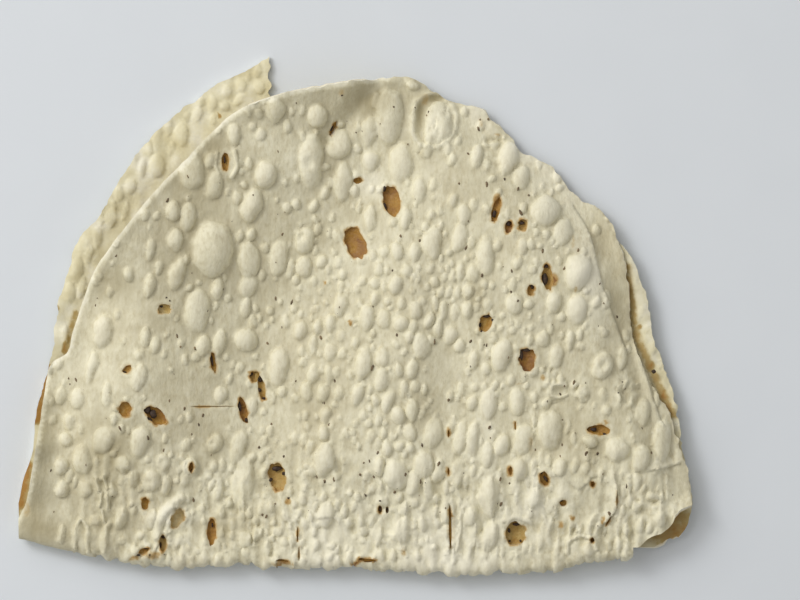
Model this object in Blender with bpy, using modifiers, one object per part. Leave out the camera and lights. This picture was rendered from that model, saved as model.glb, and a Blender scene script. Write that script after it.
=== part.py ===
"""A roasted papadum: one thin, blistered disc of crisp dough, folded in half.

The fold runs along the front, so an upper leaf lies over a lower leaf, and the leaves part
towards the back. Plan positions and sizes below are millimetres: x to the right, y to the
back, from the middle of the folded sheet. The mesh is made in metres.
"""

import math
import random

import bpy
import numpy as np
from mathutils.geometry import delaunay_2d_cdt

MM = 0.001
SEED = 7

# The sheet and its crease
SHEET_THICKNESS = 1.3
FOLD_DEPTHS = ((-95, -74, -60, -46, 95), (6.5, 5.5, 3.4, 1.3, 1.3))
FOLD_RISES = ((-95, -72, -48, 0, 40, 70, 95), (2.5, 2.4, 2.0, 2.0, 2.2, 2.9, 3.0))
LEAF_GAP = 8.2
GAP_RISE = 38.0
FOLD_FADE = 12.0
FOLD_ROWS = 7
FOLD_STEP = 3.6

# Spacing of the mesh points
UPPER_STEP = 4.7
LOWER_STEP = 7.2
RIM_STEP = 3.6
POINT_GAP = 1.3

# Front edge of the fold, left to right
FOLD_LINE = (
    (-95, -61.8), (-84, -65.2), (-74, -66.8), (-63, -69.3), (-50, -70.3), (-30, -69.8),
    (-8, -70.7), (8, -70.0), (17, -72.0), (27, -72.8), (42, -72.0), (56, -71.2),
    (67, -68.9), (78, -68.0), (87, -65.4), (93, -62.6), (96, -60.0),
)

# Edge of the upper leaf, from the left end of the fold round the back to the right
UPPER_EDGE = (
    (-94.9, -57), (-92.3, -51), (-89.8, -37), (-87.8, -23), (-86.0, -14), (-81, -10),
    (-79.4, -4), (-76.3, 5), (-73.2, 13), (-66, 23), (-56.3, 35), (-47.6, 44), (-39.4, 52.5),
    (-32, 58.4), (-20, 62.8), (-9, 65), (7, 67.2), (16.5, 67), (21.8, 63.8), (28, 60.6),
    (36, 58.4), (39, 55), (43.9, 51.4), (47, 46.5), (56, 42.2), (62.3, 34), (69, 30.4),
    (74, 22.8), (76.8, 12), (78.3, -5), (81.6, -14.6), (88.5, -26.7), (91.5, -36),
    (94.4, -47), (95.2, -53),
)

# Torn corner of the upper leaf, from its right edge back to the fold
TEAR = ((95.1, -53.6), (90, -54.5), (88.6, -57.5), (85.5, -60.8), (82, -62), (80, -64.8))
TEAR_END_X = 78.6

# Edge of the lower leaf, from the tear round the right, along the back and down the left
LOWER_EDGE_RIGHT = (
    (84.6, -65.0), (91, -62.4), (94.4, -58.6), (95.1, -53), (94.2, -45), (92, -36),
    (90.9, -26), (88, -16), (84.6, -7), (83.3, 1), (81.2, 9), (76.8, 18.8), (70, 23.5),
    (61, 30), (50, 38.5), (40, 47), (28, 55), (10, 60), (-8, 60), (-23.4, 61.5),
)
LOWER_EDGE_LEFT = (
    (-24.2, 73.2), (-30.1, 69.9), (-39.4, 65.2), (-53.5, 54.7), (-64.2, 42.2), (-70.9, 30.4),
    (-78.1, 21), (-82, 9), (-84.2, 0), (-85.6, -11), (-88, -19), (-90.3, -28), (-91.2, -38),
    (-93.8, -46), (-95.2, -53),
)

# Swells and hollows of the upper leaf: x, y, reach in x, reach in y, height
UPPER_SWELLS = (
    (-64, -12, 14, 34, 2.0), (-64, 27, 17, 20, 2.2), (12, 4, 12, 38, 1.2), (48, 6, 10, 34, 1.2),
    (26, -12, 7, 30, -1.2), (60, -44, 16, 14, 0.6), (-12, -50, 18, 12, 0.6),
)

# The long dip of the upper leaf, left of its middle
VALLEY = ((6, 44), (-12, 18), (-23, 0), (-25, -20), (-29, -34), (-32, -50), (-34, -64))
VALLEY_REACH = 19.0
VALLEY_DEPTH = 5.1
VALLEY_FADE = 26.0

# Where the edge of a leaf curls up or comes down: path, reach, height
UPPER_CURLS = (
    (((-96, -64), (-94.5, -57), (-92.3, -51), (-89.8, -37)), 12.0, 3.6),
    (((-89.8, -37), (-87.8, -23)), 7.0, 2.6),
    (((-80, -8), (-76, 5), (-66, 23), (-56, 35), (-40, 52), (-30, 59)), 5.0, 1.2),
    (((-30, 60), (-20, 63), (-9, 65.5), (3, 67)), 11.0, 3.0),
    (((10, 67), (17, 67)), 5.0, 1.4),
    (((44, 51), (57, 42)), 6.0, -0.6),
)

# Where the upper leaf comes near the lower one: path, reach, gap
TOUCHES = (
    (((-88, -26), (-86, -14), (-80, -8), (-77, 4)), 24.0, 2.8),
    (((74, 24), (77, 12), (78.5, -5), (82, -14), (90, -30), (95, -50)), 13.0, 2.5),
    (((14, 68), (28, 61), (47, 48), (62, 35), (74, 24)), 16.0, 2.1),
)
LOWER_CURLS = (
    (((77, 19), (84, -6)), 20.0, 2.8),
    (((90, -24), (92, -37), (95, -56)), 24.0, 2.6),
    (((-85, -8), (-83, 4), (-74, 26), (-62, 44)), 20.0, 2.0),
)

# Low ripple of the lower leaf, and the flat spots that it rests on: x, y, radius
RIPPLE_HEIGHT = 0.9
RIPPLE_LENGTH = 34.0
REST_SPOTS = ((0, 0, 9), (-52, -30, 9), (52, -28, 9), (-34, 26, 9), (36, 26, 9), (0, -54, 9))
REST_FADE = 8.0

# Larger blisters of the upper leaf: x, y, half width, half length
UPPER_BLISTERS = (
    (-40, 19, 6, 8), (-46, 41, 3.8, 5.5), (-39.5, 37, 2.6, 4.5), (-34, 51.5, 2.2, 3.4),
    (-22.5, 58, 2.7, 3.6), (-10.5, 56.5, 3, 3.4), (-12.5, 44, 3.7, 8), (-4.6, 48.5, 3.7, 4.5),
    (-3.5, 38, 2.9, 5.6), (-25, 40, 3.3, 4.2), (-29, 31.5, 3, 5), (-30, 16, 3.2, 5.2),
    (-21.5, 16.5, 2.8, 5.2), (-47, 28, 2.3, 4.5), (-51, 30, 2.2, 3), (-50, 12, 2.4, 5),
    (-13.8, 18.5, 3, 4), (-44.5, 1.5, 3.6, 6.2), (-30.5, 8.5, 2.4, 3.5), (-31, -6.5, 3.3, 3.8),
    (-70.8, -4, 2.9, 4.6), (-21, -14, 3.5, 5), (-77, -40, 3, 4.5), (-70.5, -35, 2.8, 4.2),
    (-77.8, -23, 2.2, 3.2), (-60.5, -35, 2.6, 4.5), (-57.5, -46.5, 2.6, 3.2),
    (-54, -41, 2.2, 2.6), (-33, -37, 2.3, 4.5), (-31.5, -47, 3, 8), (-8.5, -40.5, 3.5, 5.2),
    (-8, -56, 2.5, 4), (9.8, 56.5, 4, 8), (4.3, 53, 2.6, 4.4), (13, 43.5, 3.6, 5.8),
    (4.5, 44, 2.6, 3), (43, 44.5, 2.8, 5), (46.7, 39, 2.2, 3.5), (22, 20.8, 2.8, 5),
    (29.5, 22.5, 2.3, 4.5), (37, 17.5, 2.7, 6), (62.5, 12, 3.6, 5), (62.5, 2, 2.8, 4.6),
    (53.5, 29.5, 4.2, 4.2), (58.6, 23.6, 2.6, 3.6), (45, 3.5, 2.5, 3.5), (2.5, -13.5, 2.8, 5),
    (3.5, 0, 2.5, 4), (18.5, -8.5, 2.5, 4), (22, -33, 2.7, 4.4), (19.3, -41.6, 2.8, 4),
    (11.5, -44.5, 3.6, 4.6), (41.5, -11, 2.8, 5), (55, -32, 3.6, 6), (47.5, -34.5, 2.6, 4.4),
    (38, -24.5, 2.5, 4.6), (38, -51, 3, 6), (38, -62, 2.3, 4.6), (74, -37.5, 3.6, 3.6),
    (69.8, -14, 3, 4), (56.5, -11, 2.2, 4), (81, -27, 2.2, 4), (80.5, -40, 2.4, 4),
    (86.5, -35, 2.8, 6),
)

# The burst blister at the back, a ring round a hollow: x, y, half width, half length
BURST_BLISTER = (22.5, 54.5, 6, 7.5)
BURST_RING_HEIGHT = 2.6
BURST_HOLLOW = 0.6

# Blisters on the inner face of the lower leaf, where it shows behind the upper one
LOWER_BLISTERS = ((-55.5, 42.7, 2.8, 3.4), (-48.5, 51.5, 3, 4), (-78, 10, 2.6, 5))

# Height of a blister as a share of its half width
BLISTER_RISE = 0.48

# The shaded groove at the back edge, and its half width and depth
GROOVE = ((7, 69), (0, 58), (-6.5, 50))
GROOVE_REACH = 5.0
GROOVE_DEPTH = 1.6

# Burst openings through the upper leaf: x, y, half width, half length, turn in degrees
HOLES = (
    (0.2, 20.8, 3.4, 4.8, 15), (10.2, 33, 2.6, 4.9, 10), (39.9, 30.1, 1.3, 3.5, -14),
    (43.4, 25.2, 1.2, 2.0, -10), (47.4, 25.8, 1.3, 1.7, 0), (54.3, 11, 1.7, 3.8, 5),
    (49.6, 7.4, 1.1, 1.8, -10), (37, -1.8, 2.2, 2.6, -20), (48.6, -12, 3.0, 3.6, 0),
    (-64.7, -26.3, 1.9, 2.1, 0), (-56, -28.1, 2.2, 3.7, 52), (-31.6, -26.3, 1.3, 4.0, 15),
    (-26.3, -20.4, 1.0, 3.8, 12), (-21.8, -45.2, 2.5, 4.2, 10), (45.5, -61.2, 3.1, 3.6, 0),
    (68.7, -32, 3.2, 1.7, -5), (53.5, -45.6, 1.3, 2.4, 25), (-50.2, -57, 1.7, 2.7, -30),
    (-40.4, -61, 1.3, 4.2, 0), (-54.3, -64, 1.1, 2.8, 0), (-59.2, -52.8, 1.1, 2.0, 0),
)
HOLE_SIDES = 8
BLISTER_SIDES = 8

# Toasted cream
SURFACE_COLOUR = (0.56, 0.50, 0.34, 1.0)
SURFACE_ROUGHNESS = 0.62


def smooth(amount):
    """An even S-shaped rise from 0 to 1."""
    amount = np.clip(amount, 0.0, 1.0)
    return amount * amount * (3.0 - 2.0 * amount)


def curve_through(points, step):
    """Points about one step apart on a rounded line through the given ones."""
    points = np.array(points, dtype=float)
    before = np.vstack([2 * points[0] - points[1], points[:-1]])
    after = np.vstack([points[1:], 2 * points[-1] - points[-2]])
    lean = (after - before) / 2
    line = []
    for i in range(len(points) - 1):
        span = np.linalg.norm(points[i + 1] - points[i])
        count = max(1, round(span / step))
        for k in range(count):
            t = k / count
            line.append(
                (2 * t**3 - 3 * t**2 + 1) * points[i]
                + (t**3 - 2 * t**2 + t) * lean[i]
                + (3 * t**2 - 2 * t**3) * points[i + 1]
                + (t**3 - t**2) * lean[i + 1]
            )
    line.append(points[-1])
    return np.array(line)


def path_distance(x, y, path):
    """Distance of each place from a line of straight pieces."""
    nearest = np.full(np.shape(x), 1e9)
    for (ax, ay), (bx, by) in zip(path[:-1], path[1:]):
        length = (bx - ax) ** 2 + (by - ay) ** 2
        along = np.clip(((x - ax) * (bx - ax) + (y - ay) * (by - ay)) / length, 0.0, 1.0)
        nearest = np.minimum(nearest, np.hypot(x - ax - along * (bx - ax), y - ay - along * (by - ay)))
    return nearest


def curl(x, y, path, reach):
    """A rise from 0 that steepens to 1 on the path, as an edge curls."""
    return np.clip(1.0 - path_distance(x, y, path) / reach, 0.0, None) ** 2


def inside(x, y, outline):
    """Whether each place lies inside a closed outline."""
    hit = np.zeros(np.shape(x), dtype=bool)
    for (ax, ay), (bx, by) in zip(outline, np.roll(outline, -1, axis=0)):
        if ay != by:
            crosses = (ay > y) != (by > y)
            hit ^= crosses & (x < ax + (y - ay) * (bx - ax) / (by - ay))
    return hit


def fold_front(x):
    """y of the front of the fold, rounded along its length."""
    line = np.array(FOLD_LINE)
    shifts = (-4.0, -2.0, 0.0, 2.0, 4.0)
    return sum(np.interp(x + shift, line[:, 0], line[:, 1]) for shift in shifts) / len(shifts)


def fold_depth(x):
    """Half width of the crease in plan, widest at its left end."""
    return np.interp(x, *FOLD_DEPTHS)


def fold_rise(x):
    """Half height of the crease."""
    return np.interp(x, *FOLD_RISES)


def lower_height(x, y):
    """Height of the middle of the lower leaf."""
    ripple = 0.5 + 0.5 * np.sin(x / RIPPLE_LENGTH * 2.1 + 0.6) * np.cos(y / RIPPLE_LENGTH * 2.6)
    spots = 1.0
    for spot_x, spot_y, radius in REST_SPOTS:
        spots = spots * smooth((np.hypot(x - spot_x, y - spot_y) - radius) / REST_FADE)
    height = RIPPLE_HEIGHT * ripple * spots
    for path, reach, lift in LOWER_CURLS:
        height = height + lift * curl(x, y, path, reach)
    return SHEET_THICKNESS / 2 + height


def upper_height(x, y):
    """Height of the middle of the upper leaf, without its blisters."""
    rise = fold_rise(x)
    from_fold = np.clip(y - fold_front(x) - fold_depth(x), 0.0, None)
    gap = 2 * rise + (LEAF_GAP - 2 * rise) * smooth(from_fold / GAP_RISE)
    valley = np.exp(-((path_distance(x, y, VALLEY) / VALLEY_REACH) ** 2))
    gap = gap - VALLEY_DEPTH * valley * smooth(from_fold / VALLEY_FADE)
    for path, reach, least in TOUCHES:
        nearness = smooth(1.0 - path_distance(x, y, path) / reach)
        gap = gap + (least - gap) * nearness * smooth(from_fold / FOLD_FADE)
    for swell_x, swell_y, reach_x, reach_y, height in UPPER_SWELLS:
        distance = ((x - swell_x) / reach_x) ** 2 + ((y - swell_y) / reach_y) ** 2
        gap = gap + height * np.exp(-distance) * smooth(from_fold / FOLD_FADE)
    for path, reach, height in UPPER_CURLS:
        gap = gap + height * curl(x, y, path, reach) * smooth(from_fold / FOLD_FADE)
    groove = GROOVE_DEPTH * smooth(1.0 - path_distance(x, y, GROOVE) / GROOVE_REACH)
    return lower_height(x, y) + gap - groove


def blister_relief(x, y, blisters):
    """How far rounded blisters stand off a leaf."""
    relief = np.zeros(np.shape(x))
    for centre_x, centre_y, half_width, half_length in blisters:
        reach = ((x - centre_x) / half_width) ** 2 + ((y - centre_y) / half_length) ** 2
        relief = np.maximum(relief, BLISTER_RISE * half_width * np.clip(1.0 - reach, 0.0, None))
    return relief


def upper_relief(x, y):
    """Blisters and burst blister of the upper leaf."""
    relief = blister_relief(x, y, UPPER_BLISTERS)
    centre_x, centre_y, half_width, half_length = BURST_BLISTER
    reach = np.hypot((x - centre_x) / half_width, (y - centre_y) / half_length)
    ring = BURST_RING_HEIGHT * np.clip(1.0 - reach**2, 0.0, None) * smooth(reach / 0.6)
    return relief + ring - BURST_HOLLOW * smooth(1.0 - reach / 0.6)


def lower_relief(x, y):
    """Outward relief of the lower leaf: its blisters stand inwards, into the fold."""
    return -blister_relief(x, y, LOWER_BLISTERS)


def flatten(x, y, side):
    """Place on the unfolded sheet of a plan point on the upper (+1) or lower (-1) leaf."""
    depth = fold_depth(x)
    into = np.clip((y - fold_front(x)) / depth, 0.0, None)
    turn = np.where(into < 1.0, np.arccos(1.0 - np.minimum(into, 1.0)), math.pi / 2 + into - 1.0)
    return np.stack([x, side * turn * depth], axis=-1)


def fold_up(flat):
    """Places in space, in millimetres, of points on the unfolded sheet."""
    x = flat[:, 0]
    depth = fold_depth(x)
    across = flat[:, 1] / depth
    turn = np.clip(across, -math.pi / 2, math.pi / 2)
    beyond = np.abs(across - turn)
    y = fold_front(x) + depth * (1.0 - np.cos(turn) + beyond)
    crease_z = lower_height(x, fold_front(x) + depth) + fold_rise(x) * (1.0 + np.sin(turn))
    on_upper, on_lower = across > math.pi / 2, across < -math.pi / 2
    z = np.where(on_upper, upper_height(x, y), np.where(on_lower, lower_height(x, y), crease_z))
    relief = np.where(across > 0, upper_relief(x, y), lower_relief(x, y))
    return np.stack([x, y - relief * np.cos(turn), z + relief * np.sin(turn)], axis=-1)


def flat_outline():
    """Outline of the unfolded sheet, once round."""
    upper = curve_through(UPPER_EDGE, RIM_STEP)
    tear = np.array(TEAR)
    right = curve_through(LOWER_EDGE_RIGHT, RIM_STEP)
    left = curve_through(LOWER_EDGE_LEFT, RIM_STEP)
    fold_left = np.array([[UPPER_EDGE[0][0], 0.0]])
    fold_right = np.array([[TEAR_END_X, 0.0]])
    return np.vstack([
        fold_left,
        flatten(upper[:, 0], upper[:, 1], 1),
        flatten(tear[:, 0], tear[:, 1], 1),
        fold_right,
        flatten(right[:, 0], right[:, 1], -1),
        flatten(left[:, 0], left[:, 1], -1),
    ])


def oval(centre_x, centre_y, half_width, half_length, turn, sides):
    """Plan points of an oval turned about its middle."""
    angles = np.arange(sides) * 2 * math.pi / sides
    across, along = half_width * np.cos(angles), half_length * np.sin(angles)
    cosine, sine = math.cos(math.radians(turn)), math.sin(math.radians(turn))
    return np.stack([centre_x + across * cosine - along * sine,
                     centre_y + across * sine + along * cosine], axis=-1)


def hole_outlines():
    """Outlines of the openings on the unfolded sheet."""
    outlines = []
    for centre_x, centre_y, half_width, half_length, turn in HOLES:
        plan = oval(centre_x, centre_y, half_width, half_length, turn, HOLE_SIDES)
        outlines.append(flatten(plan[:, 0], plan[:, 1], 1))
    return outlines


def feature_points():
    """Points of the crease, the blisters and the flat spots on the unfolded sheet."""
    points = []
    for row in np.linspace(-math.pi / 2, math.pi / 2, FOLD_ROWS):
        for x in np.arange(-92.0, 92.0, FOLD_STEP):
            points.append((x, row * fold_depth(x)))
    bumps = [(1, blister) for blister in UPPER_BLISTERS + (BURST_BLISTER,)]
    bumps += [(-1, blister) for blister in LOWER_BLISTERS]
    bumps += [(-1, (x, y, radius, radius)) for x, y, radius in REST_SPOTS]
    for side, (x, y, half_width, half_length) in bumps:
        for share in (0.0, 0.58, 1.0):
            sides = BLISTER_SIDES if share else 1
            ring = oval(x, y, share * half_width, share * half_length, 0, sides)
            points.extend(flatten(ring[:, 0], ring[:, 1], side))
    return points


def filling_points(outline, generator):
    """Evenly spread points over both leaves of the unfolded sheet."""
    low, high = outline.min(axis=0), outline.max(axis=0)
    points = []
    for side, step in ((1, UPPER_STEP), (-1, LOWER_STEP)):
        for row, v in enumerate(np.arange(step, max(high[1], -low[1]), step * math.sqrt(0.75))):
            for u in np.arange(low[0] + (row % 2) * step / 2, high[0], step):
                shift = [generator.uniform(-0.12, 0.12) * step for _ in range(2)]
                points.append((u + shift[0], side * (v + shift[1]), 0.62 * step))
    return points


def sheet_points(outline, holes):
    """All inner points of the sheet, none too near another or an edge."""
    generator = random.Random(SEED)
    wanted = [(u, v, POINT_GAP) for u, v in feature_points()]
    wanted += filling_points(outline, generator)
    wanted = np.array(wanted)
    u, v, gap = wanted.T
    keep = inside(u, v, outline)
    for edge in [outline] + holes:
        closed = np.vstack([edge, edge[:1]])
        keep &= path_distance(u, v, closed) > np.minimum(gap, 0.5 * RIM_STEP) * 0.75
    for hole in holes:
        keep &= ~inside(u, v, hole)
    taken = np.empty((0, 2))
    for u, v, gap in wanted[keep]:
        if len(taken) == 0 or np.hypot(taken[:, 0] - u, taken[:, 1] - v).min() > gap:
            taken = np.vstack([taken, (u, v)])
    return taken


def flat_sheet():
    """Points and triangles of the unfolded sheet with its openings."""
    outline, holes = flat_outline(), hole_outlines()
    points, edges = [], []
    for loop in [outline] + holes:
        start, count = len(points), len(loop)
        points.extend(loop)
        edges.extend((start + i, start + (i + 1) % count) for i in range(count))
    points.extend(sheet_points(outline, holes))
    made = delaunay_2d_cdt([tuple(point) for point in points], edges, [], 1, 1e-6, False)
    flat, triangles = np.array([tuple(point) for point in made[0]]), np.array(made[2])
    centres = flat[triangles].mean(axis=1)
    keep = inside(centres[:, 0], centres[:, 1], outline)
    for hole in holes:
        keep &= ~inside(centres[:, 0], centres[:, 1], hole)
    return flat, triangles[keep]


def make_material():
    material = bpy.data.materials.new("papadum_toasted")
    material.use_nodes = True
    shader = material.node_tree.nodes["Principled BSDF"]
    shader.inputs["Base Color"].default_value = SURFACE_COLOUR
    shader.inputs["Roughness"].default_value = SURFACE_ROUGHNESS
    material.diffuse_color = SURFACE_COLOUR
    return material


def centre_on_floor(piece):
    """Put the middle of the piece over the origin and its lowest point at height 0."""
    bpy.context.view_layer.update()
    evaluated = piece.evaluated_get(bpy.context.evaluated_depsgraph_get())
    corners = np.array([tuple(corner) for corner in evaluated.bound_box])
    low, high = corners.min(axis=0), corners.max(axis=0)
    middle = (low + high) / 2
    piece.location = (-middle[0], -middle[1], -low[2])


def make_papadum(collection):
    flat, triangles = flat_sheet()
    mesh = bpy.data.meshes.new("papadum")
    mesh.from_pydata((fold_up(flat) * MM).tolist(), [], triangles.tolist())
    mesh.shade_smooth()
    mesh.materials.append(make_material())
    papadum = bpy.data.objects.new("papadum", mesh)
    collection.objects.link(papadum)
    solidify = papadum.modifiers.new("thickness", "SOLIDIFY")
    solidify.thickness = SHEET_THICKNESS * MM
    solidify.offset = 0.0
    solidify.use_even_offset = False
    centre_on_floor(papadum)
    return papadum


def main():
    for old in list(bpy.data.objects):
        bpy.data.objects.remove(old, do_unlink=True)
    collection = bpy.data.collections.new("roasted_papadum")
    bpy.context.scene.collection.children.link(collection)
    make_papadum(collection)


main()
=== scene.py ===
"""The looks of a roasted papadum: a thin, blistered sheet of crisp dough, folded in half.

The sheet is unfolded into a flat pattern, filled with fine triangles and folded up again, as
the solid is. Lengths are millimetres and meshes are made in metres. Plan places are counted
from the middle of the folded sheet, x to the right and y to the back. Flat places are counted
on the unfolded sheet: u is x, and v is the way round the fold, above 0 on the upper leaf.
"""

import math
import random

import bpy
import numpy as np
from mathutils import Matrix, Vector
from mathutils.kdtree import KDTree
from mathutils.geometry import delaunay_2d_cdt


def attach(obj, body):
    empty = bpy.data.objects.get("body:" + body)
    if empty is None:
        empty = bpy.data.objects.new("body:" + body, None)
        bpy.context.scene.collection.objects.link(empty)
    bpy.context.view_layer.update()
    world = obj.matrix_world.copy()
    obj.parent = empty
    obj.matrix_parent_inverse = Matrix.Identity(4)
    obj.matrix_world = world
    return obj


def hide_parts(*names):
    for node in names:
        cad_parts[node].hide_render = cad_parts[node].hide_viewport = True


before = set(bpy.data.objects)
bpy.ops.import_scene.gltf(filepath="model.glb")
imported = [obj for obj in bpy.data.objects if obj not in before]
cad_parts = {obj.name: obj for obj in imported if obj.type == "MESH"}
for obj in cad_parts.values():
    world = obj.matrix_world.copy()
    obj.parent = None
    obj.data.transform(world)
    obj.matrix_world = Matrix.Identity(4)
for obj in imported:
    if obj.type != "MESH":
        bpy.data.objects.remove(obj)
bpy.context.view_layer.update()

MM = 0.001
SEED = 7

# The sheet and its crease: half width and half height of the crease along x
SHEET_THICKNESS = 1.3
FOLD_DEPTHS = ((-95, -74, -60, -46, 95), (6.5, 5.5, 3.4, 1.1, 1.1))
FOLD_RISES = ((-95, -72, -48, 0, 40, 70, 95), (2.5, 2.4, 2.0, 2.0, 2.2, 2.9, 3.0))
LEAF_GAP = 8.2
GAP_RISE = 38.0
FOLD_FADE = 12.0
FRONT_SHIFTS = (-4.0, -2.0, 0.0, 2.0, 4.0)

# Spacing of the mesh points
RIM_ROUNDING = 1.0
TOP_STEP = 0.78
UNDER_STEP = 2.0
INSIDE_STEP = 1.0
BOTTOM_STEP = 2.2
RIM_STEP = 0.7
HOLE_STEP = 0.5
CREST_STEP = 0.55
CREST_GAP = 0.15
JITTER = 0.12

# Front edge of the fold, left to right
FOLD_LINE = (
    (-95, -61.8), (-84, -65.2), (-74, -66.8), (-63, -69.3), (-50, -70.3), (-30, -69.8),
    (-8, -70.7), (8, -70.0), (17, -72.0), (27, -72.8), (42, -72.0), (56, -71.2), (67, -68.9),
    (78, -68.0), (87, -65.4), (93, -62.6), (96, -60.0),
)

# Edge of the upper leaf, from the left end of the fold round the back to the right
UPPER_EDGE = (
    (-94.9, -57), (-92.3, -51), (-89.8, -37), (-87.8, -23), (-86.0, -14), (-81, -10), (-79.4, -4),
    (-76.3, 5), (-73.2, 13), (-66, 23), (-56.3, 35), (-47.6, 44), (-39.4, 52.5), (-32, 58.4),
    (-20, 62.8), (-9, 65), (7, 67.2), (16.5, 67), (21.8, 63.8), (28, 60.6), (36, 58.4), (39, 55),
    (43.9, 51.4), (47, 46.5), (56, 42.2), (62.3, 34), (69, 30.4), (74, 22.8), (76.8, 12),
    (78.3, -5), (81.6, -14.6), (88.5, -26.7), (91.5, -36), (94.4, -47), (95.2, -53),
)

# Torn corner of the upper leaf, from its right edge back to the fold
TEAR = ((95.1, -53.6), (91.6, -55.2), (89.8, -58.2), (86.6, -61.2), (82.8, -62.8), (80, -65.2))
TEAR_END_X = 78.6

# Edge of the lower leaf, from the tear round the right, along the back and down the left
LOWER_EDGE_RIGHT = (
    (84.6, -65.0), (91, -62.4), (94.4, -58.6), (95.1, -53), (94.2, -45), (92, -36), (90.9, -26),
    (88, -16), (84.6, -7), (83.3, 1), (81.2, 9), (76.8, 18.8), (70, 23.5), (61, 30), (50, 38.5),
    (40, 47), (28, 55), (10, 60), (-8, 60), (-23.4, 61.5),
)
BROKEN_TIP = ((-24.3, 63.4), (-23.7, 65.2), (-24.6, 67.4), (-24.3, 68.6), (-23.5, 70.4), (-24, 72))
LOWER_EDGE_LEFT = (
    (-24.2, 73.6), (-30.1, 69.9), (-39.4, 65.2), (-53.5, 54.7), (-64.2, 42.2), (-70.9, 30.4),
    (-78.1, 21), (-82, 9), (-84.2, 0), (-85.6, -11), (-88, -19), (-90.3, -28), (-91.2, -38),
    (-93.8, -46), (-95.2, -53),
)

# Swells and hollows of the upper leaf: x, y, reach in x, reach in y, height
UPPER_SWELLS = (
    (-64, -12, 14, 34, 2.0), (-64, 27, 17, 20, 2.2), (12, 4, 12, 38, 1.2), (48, 6, 10, 34, 1.2),
    (26, -12, 7, 30, -1.2), (60, -44, 16, 14, 0.6), (-12, -50, 18, 12, 0.6),
)

# The long dip of the upper leaf, left of its middle
VALLEY = ((6, 44), (-12, 18), (-23, 0), (-25, -20), (-29, -34), (-32, -50), (-34, -64))
VALLEY_REACH = 19.0
VALLEY_DEPTH = 5.1
VALLEY_FADE = 26.0

# Where the edge of a leaf curls up or comes down: path, reach, height
UPPER_CURLS = (
    (((-96, -64), (-94.5, -57), (-92.3, -51), (-89.8, -37)), 12.0, 3.6),
    (((-89.8, -37), (-87.8, -23)), 7.0, 2.6),
    (((-80, -8), (-76, 5), (-66, 23), (-56, 35), (-40, 52), (-30, 59)), 4.0, 0.7),
    (((-30, 60), (-20, 63), (-9, 65.5), (3, 67)), 11.0, 3.0), (((10, 67), (17, 67)), 5.0, 1.4),
    (((44, 51), (57, 42)), 6.0, -0.6),
)
LOWER_CURLS = (
    (((77, 19), (84, -6)), 20.0, 2.8), (((90, -24), (92, -37), (95, -56)), 24.0, 2.6),
    (((-85, -8), (-83, 4), (-74, 26), (-62, 44)), 20.0, 2.0),
)

# Where the upper leaf comes near the lower one: path, reach, gap
TOUCHES = (
    (((-88, -26), (-86, -14), (-80, -8), (-77, 4)), 24.0, 2.8),
    (((74, 24), (77, 12), (78.5, -5), (82, -14), (90, -30), (95, -50)), 13.0, 2.4),
    (((14, 68), (28, 61), (47, 48), (62, 35), (74, 24)), 16.0, 1.75),
)

# Low ripple of the lower leaf, and the flat spots that it rests on: x, y, radius
RIPPLE_HEIGHT = 0.9
RIPPLE_LENGTH = 34.0
REST_SPOTS = ((0, 0, 9), (-52, -30, 9), (52, -28, 9), (-34, 26, 9), (36, 26, 9), (0, -54, 9))
REST_FADE = 8.0

# Blisters of the upper leaf: x, y, half width, half length
UPPER_BLISTERS = (
    (-40, 19, 6, 8), (-46, 41, 3.8, 5.5), (-39.5, 37, 2.6, 4.5), (-34, 51.5, 2.2, 3.4),
    (-22.5, 58, 2.7, 3.6), (-10.5, 56.5, 3, 3.4), (-12.5, 44, 3.7, 8), (-4.6, 48.5, 3.7, 4.5),
    (-3.5, 38, 2.9, 5.6), (-25, 40, 3.3, 4.2), (-29, 31.5, 3, 5), (-30, 16, 3.2, 5.2),
    (-21.5, 16.5, 2.8, 5.2), (-47, 28, 2.3, 4.5), (-51, 30, 2.2, 3), (-50, 12, 2.4, 5),
    (-14.2, 21.2, 3, 3.9), (-44.5, 1.5, 3.6, 6.2), (-30.5, 8.5, 2.4, 3.5), (-31, -6.5, 3.3, 3.8),
    (-70.8, -4, 2.9, 4.6), (-21.3, -14, 2.9, 6.0), (-77, -40, 3, 4.5), (-70.5, -35, 2.8, 4.2),
    (-77.8, -23, 2.2, 3.2), (-60.5, -35, 2.6, 4.5), (-57.5, -46.5, 2.6, 3.2), (-54, -41, 2.2, 2.6),
    (-33, -37, 2.3, 4.5), (-31.5, -47, 3, 8), (-8.5, -40.5, 2.9, 5.0), (-8, -56, 2.5, 4),
    (9.8, 56.5, 4, 8), (4.3, 53, 2.6, 4.4), (13, 43.5, 3.6, 5.8), (4.5, 44, 2.6, 3),
    (43, 44.5, 2.8, 5), (46.7, 39, 2.2, 3.5), (22, 20.8, 2.8, 5), (29.5, 22.5, 2.3, 4.5),
    (37, 17.5, 2.7, 6), (62.5, 12, 3.6, 5), (62.5, 2, 2.8, 4.6), (53.5, 29.5, 4.2, 4.2),
    (58.6, 23.6, 2.6, 3.6), (45, 3.5, 2.5, 3.5), (2.5, -13.5, 2.8, 5), (3.5, 0, 2.5, 4),
    (18.5, -8.5, 2.5, 4), (22, -33, 2.7, 4.4), (19.3, -41.6, 2.8, 4), (11.5, -44.5, 3.6, 4.6),
    (41.5, -11, 2.8, 5), (55, -32, 3.6, 6), (47.5, -34.5, 2.6, 4.4), (38, -24.5, 2.5, 4.6),
    (38, -51, 3, 6), (38, -62, 2.3, 4.6), (74, -37.5, 3.6, 3.6), (69.8, -14, 3, 4),
    (56.5, -11, 2.2, 4), (81, -27, 2.2, 4), (80.5, -40, 2.4, 4), (86.5, -35, 2.8, 6),
)

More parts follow.
